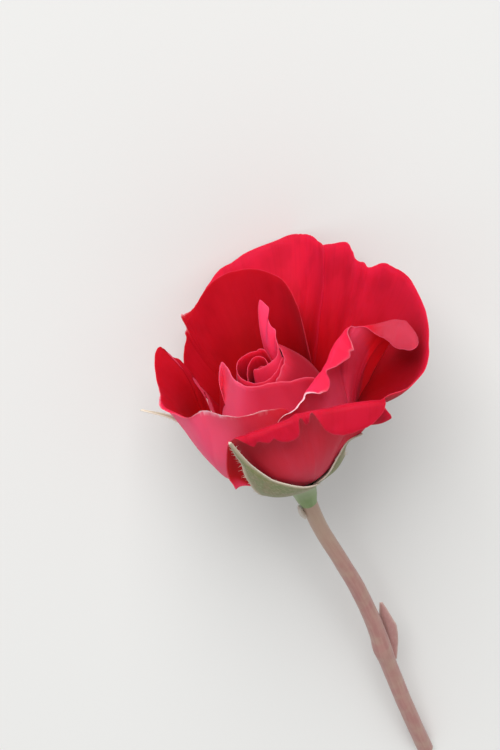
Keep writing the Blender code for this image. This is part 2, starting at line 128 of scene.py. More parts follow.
class Finish:
    """A material in the making, with one principled shader."""

    def __init__(self, name: str) -> None:
        """Starts the material of this name."""
        self.material = bpy.data.materials.new(name)
        self.material.use_nodes = True

    def chart(self, across_mm: float = CHART_MM, along_mm: float = CHART_MM) -> bpy.types.NodeSocket:
        """Takes the piece's map, in units of so many millimetres across and along it.

        Args:
            across_mm: The unit across the piece.
            along_mm: The unit along it.

        Returns:
            The place on the map.
        """
        place = add_node(self.material, "ShaderNodeUVMap", {"uv_map": CHART})
        if across_mm == CHART_MM:
            return place
        scale = (CHART_MM / across_mm, CHART_MM / along_mm, 1)
        return add_node(self.material, "ShaderNodeMapping", Vector=place, Scale=scale)

    def mark(self, name: str) -> bpy.types.NodeSocket:
        """The value of one of the piece's float maps."""
        return add_node(self.material, "ShaderNodeAttribute", {"attribute_name": name}, "Fac")

    def noise(self, place: bpy.types.NodeSocket, scale: float, detail: float,
              **more: float) -> bpy.types.NodeSocket:
        """Adds a soft noise.

        Args:
            place: Where to read it.
            scale: How fine it is.
            detail: How many finer layers it has.
            more: Its other inputs.

        Returns:
            The noise's value.
        """
        return add_node(self.material, "ShaderNodeTexNoise", Vector=place, Scale=scale, Detail=detail, **more)

    def spread(self, value: bpy.types.NodeSocket, low: float, high: float, start: float = 0.0,
               end: float = 1.0) -> bpy.types.NodeSocket:
        """Maps a value between two limits smoothly to another range, clamped.

        Args:
            value: The socket to map.
            low: The value that gives start.
            high: The value that gives end.
            start: The first result.
            end: The last result.

        Returns:
            The mapped value's socket.
        """
        return add_node(self.material, "ShaderNodeMapRange", {"interpolation_type": "SMOOTHSTEP"},
                        in0=value, in1=low, in2=high, in3=start, in4=end)

    def combine(self, kind: str, *values: object) -> bpy.types.NodeSocket:
        """Adds the math node of this kind over the values."""
        inputs = {f"in{number}": value for number, value in enumerate(values)}
        return add_node(self.material, "ShaderNodeMath", {"operation": kind}, **inputs)

    def paint(self, ground: str, *layers: tuple[bpy.types.NodeSocket, str]) -> bpy.types.NodeSocket:
        """Lays colours over one another.

        Args:
            ground: The lowest colour.
            layers: For each colour over it, how much of it shows and its code.

        Returns:
            The painted colour's socket.
        """
        colour = linear(ground)
        for share, code in layers:
            colour = add_node(self.material, "ShaderNodeMix", {"data_type": "RGBA", "clamp_factor": True}, 2,
                              in0=share, in6=colour, in7=linear(code))
        return colour

    def complete(self, colour: bpy.types.NodeSocket, height: bpy.types.NodeSocket | None = None,
                 strength: float = 0.0, relief_mm: float = 0.0, **values: object) -> bpy.types.Material:
        """Feeds the shader.

        Args:
            colour: The skin's colour.
            height: Its relief, if it has one.
            strength: How strongly the relief shows.
            relief_mm: How deep it is.
            values: The shader's other inputs, as for fill().

        Returns:
            The finished material.
        """
        if height:
            values["Normal"] = add_node(self.material, "ShaderNodeBump", Strength=strength,
                                        Distance=relief_mm * MM, Height=height)
        shader = self.material.node_tree.nodes["Principled BSDF"]
        fill(self.material, shader, {"Base_Color": colour, **values})
        return self.material


@dataclass(frozen=True)
class PetalSkin:
    """Living petal tissue, grown as velvety cone-shaped cells over fine fanning veins.

    The cells deepen the red and give a soft bloom at a slant, the veins give faint darker streaks
    that fan from the claw, and the thin rim holds less pigment. The colour also holds painted light:
    on the velvet, painted shade towards the claw down in the cup; painted light and shade on the
    upper part; and painted highlights, a painted dull sheen and painted shade where the float maps
    ask for them.
    """

    name: str
    flesh: str
    deep: str  # towards the claw and in the veins and patches; on the velvet its darker red towards the claw is painted shade down in the cup
    tip: str  # towards the rim: painted light and shade of the upper part
    rim: str  # on the very edge
    glow: str  # painted highlight where the petal is turned up to the light
    dusk: str = "#c01428"  # where the other side's skin shows, and on a rolled rim that dim darkens; the velvet's very dark red there is painted shade
    shadow: str = "#a01428"  # in the depths of the cup
    lit: str = "lit"  # the float map that says where it gets the painted highlight
    mute: str = "#b43c52"  # painted dull sheen: paler, duller pink on a rolled part and near the free edge
    torn: str = "#ffd2da"  # on the torn cells of a frayed edge
    tip_share: float = 0.5
    rim_share: float = 0.35
    veins_mm: float = 1.1  # spacing of the veins across the petal
    vein_length: float = 20.0  # how much longer than wide the veins' pattern is
    blotch_mm: float = 9.0  # size of the soft patches
    blotch_share: float = 0.22
    cell_mm: float = 0.35  # size of the velvet's grain
    vein_share: float = 0.15
    roughness: float = 0.6
    shine: float = 0.3
    bloom: float = 0.12

    def build(self) -> bpy.types.Material:
        """Builds the material from the petal's own map and float maps."""
        skin = Finish(self.name)
        veins = skin.noise(skin.chart(self.veins_mm, self.vein_length * self.veins_mm), 1.0, 3.0,
                           Roughness=0.6, Distortion=0.2)
        place, rise = skin.chart(), skin.mark("rise")
        patch = skin.noise(place, CHART_MM / self.blotch_mm, 2.0)
        grain = skin.noise(place, CHART_MM / self.cell_mm, 1.0)
        colour = skin.paint(
            self.deep,
            (skin.spread(rise, 0.15, 0.7), self.flesh),
            (skin.spread(rise, 0.55, 1.0, 0.0, self.tip_share), self.tip),
            (skin.spread(veins, 0.45, 0.68, 0.0, self.vein_share), self.deep),
            (skin.spread(patch, 0.42, 0.66, 0.0, self.blotch_share), self.deep),
            (skin.mark("dusk"), self.dusk),
            (skin.mark("shade"), self.shadow),
            (skin.mark(self.lit), self.glow),
            (skin.mark("mute"), self.mute),
            (skin.spread(skin.mark("edge"), 0.0, 0.4, self.rim_share, 0.0), self.rim),
            (skin.mark("fray"), self.torn),
        )
        return skin.complete(
            colour, skin.combine("MULTIPLY_ADD", grain, 0.35, veins), 0.3, 0.12,
            Roughness=self.roughness, IOR=1.4, Specular_IOR_Level=self.shine, Sheen_Weight=self.bloom,
            Sheen_Roughness=0.4, Sheen_Tint=linear("#ff9db4"), Subsurface_Weight=0.5,
            Subsurface_Radius=(1.0, 0.10, 0.12), Subsurface_Scale=MM)


@dataclass(frozen=True)
class LeafSkin:
    """Sepal or bract tissue: a matt green or ruddy leaf skin with a woolly pale margin.

    Short down scatters the light, so the margin looks whitish and the middle greyish.
    """

    name: str
    flesh: str
    ruddy: str
    wool: str
    ruddy_share: float = 0.6
    margin_mm: float = 0.9
    patch_mm: float = 3.0
    down_mm: tuple[float, float] = (0.3, 1.6)  # the down's grain across and along the leaf

    def build(self) -> bpy.types.Material:
        """Builds the material from the leaf's map and its distance to the margin."""
        skin = Finish(self.name)
        patch = skin.noise(skin.chart(), CHART_MM / self.patch_mm, 3.0)
        down = skin.noise(skin.chart(*self.down_mm), 1.0, 2.0)
        colour = skin.paint(
            self.flesh,
            (skin.spread(patch, 0.4, 0.65, 0.0, self.ruddy_share), self.ruddy),
            (skin.spread(down, 0.45, 0.7, 0.0, 0.35), self.wool),
            (skin.spread(skin.mark("edge"), 0.0, self.margin_mm, 0.9, 0.0), self.wool),
        )
        return skin.complete(colour, down, 0.5, 0.2, Roughness=0.72, Sheen_Weight=0.35,
                             Sheen_Roughness=0.5, Sheen_Tint=linear("#f2ece0"))


@dataclass(frozen=True)
class BarkSkin:
    """Young stem or hip skin, smooth and waxy, with lengthwise streaks and a pale bloom of wax."""

    name: str
    flesh: str
    second: str
    wax: str
    streak_mm: float = 0.8
    streak_length: float = 14.0  # how much longer than wide the streaks are
    wax_share: float = 0.5
    patch_mm: float = 5.0
    pore_mm: float = 0.3
    roughness: float = 0.5

    def build(self) -> bpy.types.Material:
        """Builds the material from the tube's map of millimetres round and along it."""
        skin = Finish(self.name)
        place = skin.chart()
        streak = skin.noise(skin.chart(self.streak_mm, self.streak_mm * self.streak_length), 1.0, 3.0)
        patch = skin.noise(place, CHART_MM / self.patch_mm, 3.0)
        pores = skin.noise(place, CHART_MM / self.pore_mm, 1.0)
        colour = skin.paint(
            self.flesh,
            (skin.spread(streak, 0.4, 0.62), self.second),
            (skin.spread(patch, 0.4, 0.7, 0.0, self.wax_share), self.wax),
            (skin.mark("glow"), self.wax),
        )
        return skin.complete(colour, skin.combine("MULTIPLY_ADD", pores, 0.4, streak), 0.4, 0.15,
                             Roughness=self.roughness, Sheen_Weight=0.15)


@dataclass(frozen=True)
class PollenSkin:
    """Anthers and styles: dry, grainy, warm yellow tissue that is dusted with pollen."""

    name: str
    flesh: str
    grain: str
    grain_mm: float = 0.2

    def build(self) -> bpy.types.Material:
        """Builds the material with its grain over the whole piece."""
        skin = Finish(self.name)
        place = add_node(skin.material, "ShaderNodeTexCoord", None, "Object")
        dust = skin.noise(place, 1 / (self.grain_mm * MM), 2.0)
        colour = skin.paint(self.flesh, (skin.spread(dust, 0.4, 0.65), self.grain))
        return skin.complete(colour, dust, 0.5, 0.1, Roughness=0.8)


@dataclass(frozen=True)
class PaperFloor:
    """Pale matt paper: plain, and a little paler to the eye than in the light it throws back."""

    name: str = "floor_paper"
    colour: str = "#d0d0ce"
    seen: str = "#e6e6e4"
    lift: float = 0.03

    def build(self) -> bpy.types.Material:
        """Builds a diffuse floor that looks paler, also mirrored or through something; shadows stay."""
        skin = Finish(self.name)
        eye, mirrored, through = (add_node(skin.material, "ShaderNodeLightPath", None, ray)
                                  for ray in ("Is Camera Ray", "Is Glossy Ray", "Is Transmission Ray"))
        eye = skin.combine("MAXIMUM", skin.combine("MAXIMUM", eye, mirrored), through)
        return skin.complete(skin.paint(self.colour, (eye, self.seen)), Roughness=0.9,
                             Specular_IOR_Level=0.1, Emission_Color=(1, 1, 1, 1),
                             Emission_Strength=skin.spread(eye, 0.0, 1.0, 0.0, self.lift))


# Curves and sheets


def spline(points: tuple[tuple[float, ...], ...], t: float) -> tuple[float, ...]:
    """A Catmull-Rom curve through tuples of numbers.

    Args:
        points: The numbers at each step of the curve.
        t: The place on the curve, in steps of one point.

    Returns:
        The numbers at t.
    """
    last = len(points) - 1
    index = min(int(t), last - 1)
    s = t - index
    p1, p2 = points[index], points[index + 1]
    p0 = points[index - 1] if index > 0 else tuple(2 * a - b for a, b in zip(p1, p2))
    p3 = points[index + 2] if index + 2 <= last else tuple(2 * b - a for a, b in zip(p1, p2))
    return tuple(
        0.5 * (2 * b + (c - a) * s + (2 * a - 5 * b + 4 * c - d) * s**2 + (3 * b - a - 3 * c + d) * s**3)
        for a, b, c, d in zip(p0, p1, p2, p3)
    )


def glide(values: tuple[float, ...], share: float) -> float:
    """The number at a share of the way along a smooth curve through evenly spaced values."""
    return spline(tuple((value,) for value in values), share * (len(values) - 1))[0]


def heading(lean: float) -> Vector:
    """The direction, in the plane of radius and height, that leans out by this many degrees."""
    return Vector((math.sin(math.radians(lean)), math.cos(math.radians(lean))))


def span(start: Vector, start_lean: float, end: Vector, end_lean: float, t: float) -> Vector:
    """A point of the cubic Bezier curve between two places on a rib.

    Args:
        start: The first place, as radius and height.
        start_lean: The curve's lean as it leaves, in degrees.
        end: The last place.
        end_lean: The curve's lean as it arrives, in degrees.
        t: The share of the way.

    Returns:
        The place at t.
    """
    reach = (end - start).length * HANDLE
    first, second = start + heading(start_lean) * reach, end - heading(end_lean) * reach
    q = 1 - t
    return start * q**3 + first * (3 * t * q * q) + second * (3 * t * t * q) + end * t**3


def polar(radius: float, angle: float, height: float) -> Vector:
    """The point at this radius, angle in radians and height."""
    return Vector((radius * math.cos(angle), radius * math.sin(angle), height))


def ease(value: float, low: float, high: float) -> float:
    """Maps a value between two limits to a smooth share from 0 to 1."""
    t = min(max((value - low) / (high - low), 0.0), 1.0)
    return t * t * (3 - 2 * t)


def waver(x: float, y: float, seed: float) -> float:
    """Smooth noise from -1 to 1 on a plane that the seed picks."""
    return noise.noise(Vector((x, y, seed * 7.31)))


def normals(grid: Grid) -> Grid:
    """The unit normals of a grid of points.

    Args:
        grid: Columns of points, with the outer side to the right of the way up.

    Returns:
        The normals in the same layout, pointing to the outer side.
    """
    columns, rows = len(grid) - 1, len(grid[0]) - 1
    result = []
    for i in range(columns + 1):
        before, after = grid[max(i - 1, 0)], grid[min(i + 1, columns)]
        result.append([
            (after[j] - before[j]).cross(grid[i][min(j + 1, rows)] - grid[i][max(j - 1, 0)]).normalized()
            for j in range(rows + 1)
        ])
    return result


def cells(columns: int, rows: int) -> list[tuple[int, int, int, int]]:
    """The corners of each face of a grid of so many columns and rows of points, column by column."""
    corners = [i * rows + j for i in range(columns - 1) for j in range(rows - 1)]
    return [(a, a + rows, a + rows + 1, a + 1) for a in corners]


def measure(grid: Grid) -> tuple[Chart, Table, Table]:
    """Measures a grid.

    Args:
        grid: Columns of points.

    Returns:
        The millimetres across and along at each point, the millimetres to the end of each column
        and those to the nearer of the first and last columns.
    """
    columns, rows = len(grid) - 1, len(grid[0]) - 1
    across = [[0.0] * (rows + 1)]
    for i in range(1, columns + 1):
        across.append([across[-1][j] + (grid[i][j] - grid[i - 1][j]).length for j in range(rows + 1)])
    widest = max(across[-1])
    chart, ahead, aside = [], [], []
    for i, column in enumerate(grid):
        along = [0.0]
        for before, after in zip(column, column[1:]):
            along.append(along[-1] + (after - before).length)
        chart.append([((i / columns - 0.5) * widest, value) for value in along])
        ahead.append([along[-1] - value for value in along])
        aside.append([min(across[i][j], across[-1][j] - across[i][j]) for j in range(rows + 1)])
    return chart, ahead, aside


class Bed:
    """Where the upright flower's frame lies in the shared frame: on its back, head towards -Y."""

    TURN = (-80.502, 4.1569, -179.3052)  # degrees about X, Y and Z
    SHIFT = (4.166, -29.2611, 27.9458)  # millimetres
    LAY = Matrix.LocRotScale(Vector(SHIFT) * MM, Euler([math.radians(a) for a in TURN], "XYZ"), None)
    REST = 0.02 * MM  # how far a petal or leaf that reaches the floor stays over it

    @classmethod
    def place(cls, point: Vector) -> Vector:
        """Turns millimetres in the flower's frame into metres in the shared frame."""
        return cls.LAY @ (point * MM)


def join(name: str, points: list[Vector], faces: list[tuple[int, ...]], slots: list[int],
         maps: dict[str, list[float]], corners: list[tuple[float, float]],
         lowest: float = -math.inf) -> bpy.types.Mesh:
    """Joins points into a smooth mesh.

    Args:
        name: The mesh's name.
        points: Its points in the flower's frame.
        faces: The numbers of each face's points.
        slots: Each face's material slot.
        maps: Float maps by name, one value to each point.
        corners: Millimetres across and along the piece at each corner of each face.
        lowest: The height in metres under which no point lies.

    Returns:
        The mesh, in metres in the shared frame.
    """
    mesh = bpy.data.meshes.new(name)
    mesh.from_pydata([(x, y, max(z, lowest)) for x, y, z in map(Bed.place, points)], [], faces)
    mesh.polygons.foreach_set("material_index", slots)
    for title, values in maps.items():
        mesh.attributes.new(title, "FLOAT", "POINT").data.foreach_set("value", values)
    uvs = [value / CHART_MM for corner in corners for value in corner]
    mesh.uv_layers.new(name=CHART).data.foreach_set("uv", uvs)
    mesh.shade_smooth()
    mesh.update()
    return mesh


@dataclass
class Sheet:
    """A thin living sheet round a grid of points in millimetres, with its maps.

    Attributes:
        grid: Columns of points of the middle surface.
        marks: Float maps by name, one value to each point, with "edge" for the way to the margin.
        chart: Millimetres across and along the sheet at each point.
        half: Half of the thickness in the middle, in millimetres.
        half_rim: Half of the thickness at the margin.
        taper: The width of the strip that thins towards the margin.
    """

    grid: Grid
    marks: dict[str, Table]
    chart: Chart
    half: float = 0.15
    half_rim: float = 0.06
    taper: float = 3.0

    def margin(self) -> list[tuple[int, int, Vector]]:
        """The points round the sheet with the way out at each, outer side in view, anticlockwise."""
        last_i, last_j = len(self.grid) - 1, len(self.grid[0]) - 1
        loop = [(i, 0) for i in range(last_i)] + [(last_i, j) for j in range(last_j)]
        loop += [(i, last_j) for i in range(last_i, 0, -1)] + [(0, j) for j in range(last_j, 0, -1)]
        inward = {(0, None): (1, 0), (last_i, None): (-1, 0), (None, 0): (0, 1), (None, last_j): (0, -1)}
        result = []
        for i, j in loop:
            out = Vector()
            for key in ((i, None), (None, j)):
                if key in inward:
                    step_i, step_j = inward[key]
                    out += (self.grid[i][j] - self.grid[i + step_i][j + step_j]).normalized()
            result.append((i, j, out.normalized()))
        return result

    def mesh(self, name: str, hairs: tuple[tuple[Vector, Vector, float], ...] = ()) -> bpy.types.Mesh:
        """Builds a closed mesh with a rounded margin.

        Args:
            name: The mesh's name.
            hairs: Hairs to add, each as its foot, its tip and its radius.

        Returns:
            The mesh, in metres in the shared frame, with a material index for each Face.
        """
        ways, rows = normals(self.grid), len(self.grid[0])
        points, keys, faces, slots = [], [], [], []
        for side in (1, -1):
            for i, column in enumerate(self.grid):
                for j, point in enumerate(column):
                    near = ease(self.marks["edge"][i][j], 0, self.taper)
                    half = self.half_rim + (self.half - self.half_rim) * near
                    points.append(point + ways[i][j] * half * side)
                    keys.append((i, j))
        layer = len(self.grid) * rows
        for a, b, c, d in cells(len(self.grid), rows):
            faces += [(a, b, c, d), (layer + a, layer + d, layer + c, layer + b)]
            slots += [Face.OUTER.value, Face.INNER.value]
        margin, start = self.margin(), len(points)
        for k, (i, j, out) in enumerate(margin):
            points.append(self.grid[i][j] + out * self.half_rim)
            keys.append((i, j))
            after = (k + 1) % len(margin)
            a, b = i * rows + j, margin[after][0] * rows + margin[after][1]
            faces += [(b, a, start + k, start + after), (start + after, start + k, layer + a, layer + b)]
            slots += [Face.EDGE.value] * 2
        for foot, tip, radius in hairs:
            axis, base = (tip - foot).normalized(), len(points)
            side = axis.orthogonal().normalized() * radius
            points += [foot + Matrix.Rotation(k * 2 * math.pi / 3, 3, axis) @ side for k in range(3)]
            points.append(tip)
            keys += [(0, 0)] * 4
            faces += [(base + k, base + (k + 1) % 3, base + 3) for k in range(3)]
            faces.append((base + 2, base + 1, base))
            slots += [Face.EDGE.value] * 4
        maps = {title: [values[i][j] for i, j in keys] for title, values in self.marks.items()}
        corners = [self.chart[keys[point][0]][keys[point][1]] for face in faces for point in face]
        return join(name, points, faces, slots, maps, corners, Bed.REST)


# The flower's pieces


def add_piece(name: str, mesh: bpy.types.Mesh, node: str, skins: Skins) -> None:
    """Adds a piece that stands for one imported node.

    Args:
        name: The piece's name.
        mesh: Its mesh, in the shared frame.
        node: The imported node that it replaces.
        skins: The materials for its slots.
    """
    piece = bpy.data.objects.new(name, mesh)
    for skin in skins:
        mesh.materials.append(skin)
    bpy.context.scene.collection.objects.link(piece)
    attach(piece, BODY)
    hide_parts(node)
    low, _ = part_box(node)
    log.info("%s: %d faces, for %s at %s", name, len(mesh.polygons), node, [round(v, 3) for v in low])


@dataclass(frozen=True)
class Rim:
    """A point of a petal's rim.

    Attributes:
        azimuth: Degrees round the flower.
        radius: Millimetres from the flower's axis.
        height: Millimetres above the flower's foot.
        lean: Degrees that the petal leans out there.
        curl: Millimetres of petal that roll outwards past this point.
        turn: Degrees that the roll turns through.
        fray: How torn and bleached the free edge is, from 0 to 1.
        edge_light: How much painted highlight the rolled part past this point gets, from 0 to 1, and below 0
        how much painted dull sheen it and the free edge near it get, down to -1.
        light: How much painted highlight the outer side below this point gets, from 0 to 1, and below
        0 how much painted shade both sides get, down to -1.
    """

    azimuth: float
    radius: float
    height: float
    lean: float
    curl: float = 0.0
    turn: float = 120.0
    fray: float = 0.0
    edge_light: float = 0.0
    light: float = 0.0

    @property
    def torn(self) -> float:
        """Its fray, kept from 0 to 1 where a curve through it swings past."""
        return min(max(self.fray, 0.0), 1.0)


@dataclass(frozen=True)
class Petal:
    """One petal: where its claw stands, how wide its waist is and the rim that it runs up to.

    Attributes:
        name: Its node's name.
        whorl: Where it stands.
        claw_azimuth: Degrees round the flower to the middle of its claw.
        claw_radius: Millimetres from the axis to the claw.
        claw_half_width: Half the claw's width in degrees.
        rise: Degrees above level at the claw.
        waists: Radii of the cup at the waist's height, from the first margin to the last.
        rim: The rim, from the first margin to the last.
        waist_height: Where the wall turns upright.
        waist_lean: How far it leans out there, in degrees.
        curl_radius: The radius of a rolled rim.
        ruffle: Height of the waves in the upper part.
        columns: Faces across.
        twist: The line along which the skins swap, as its share of the way across at the rim and
            at the claw, and +1 or -1 for the side of the line that shows the other skin.
        against: The petal that the last margin is pressed on.
        dim: How much painted shade darkens its rolled rim, from 0 to 1.
    """

    name: str
    whorl: Whorl
    claw_azimuth: float
    claw_radius: float
    claw_half_width: float
    rise: float
    waists: tuple[float, ...]
    rim: tuple[Rim, ...]
    waist_height: float = 19.0
    waist_lean: float = 20.0
    curl_radius: float = 1.3
    ruffle: float = 0.35
    columns: int = 90
    twist: tuple[float, float, int] | None = None
    against: str = ""
    dim: float = 0.0

    @property
    def side(self) -> int:
        """+1 where the rim's azimuths rise along the list, and -1 where they fall."""
        return 1 if self.rim[-1].azimuth > self.rim[0].azimuth else -1


HANDLE = 0.42  # length of a rib's curve handles, as a share of its span
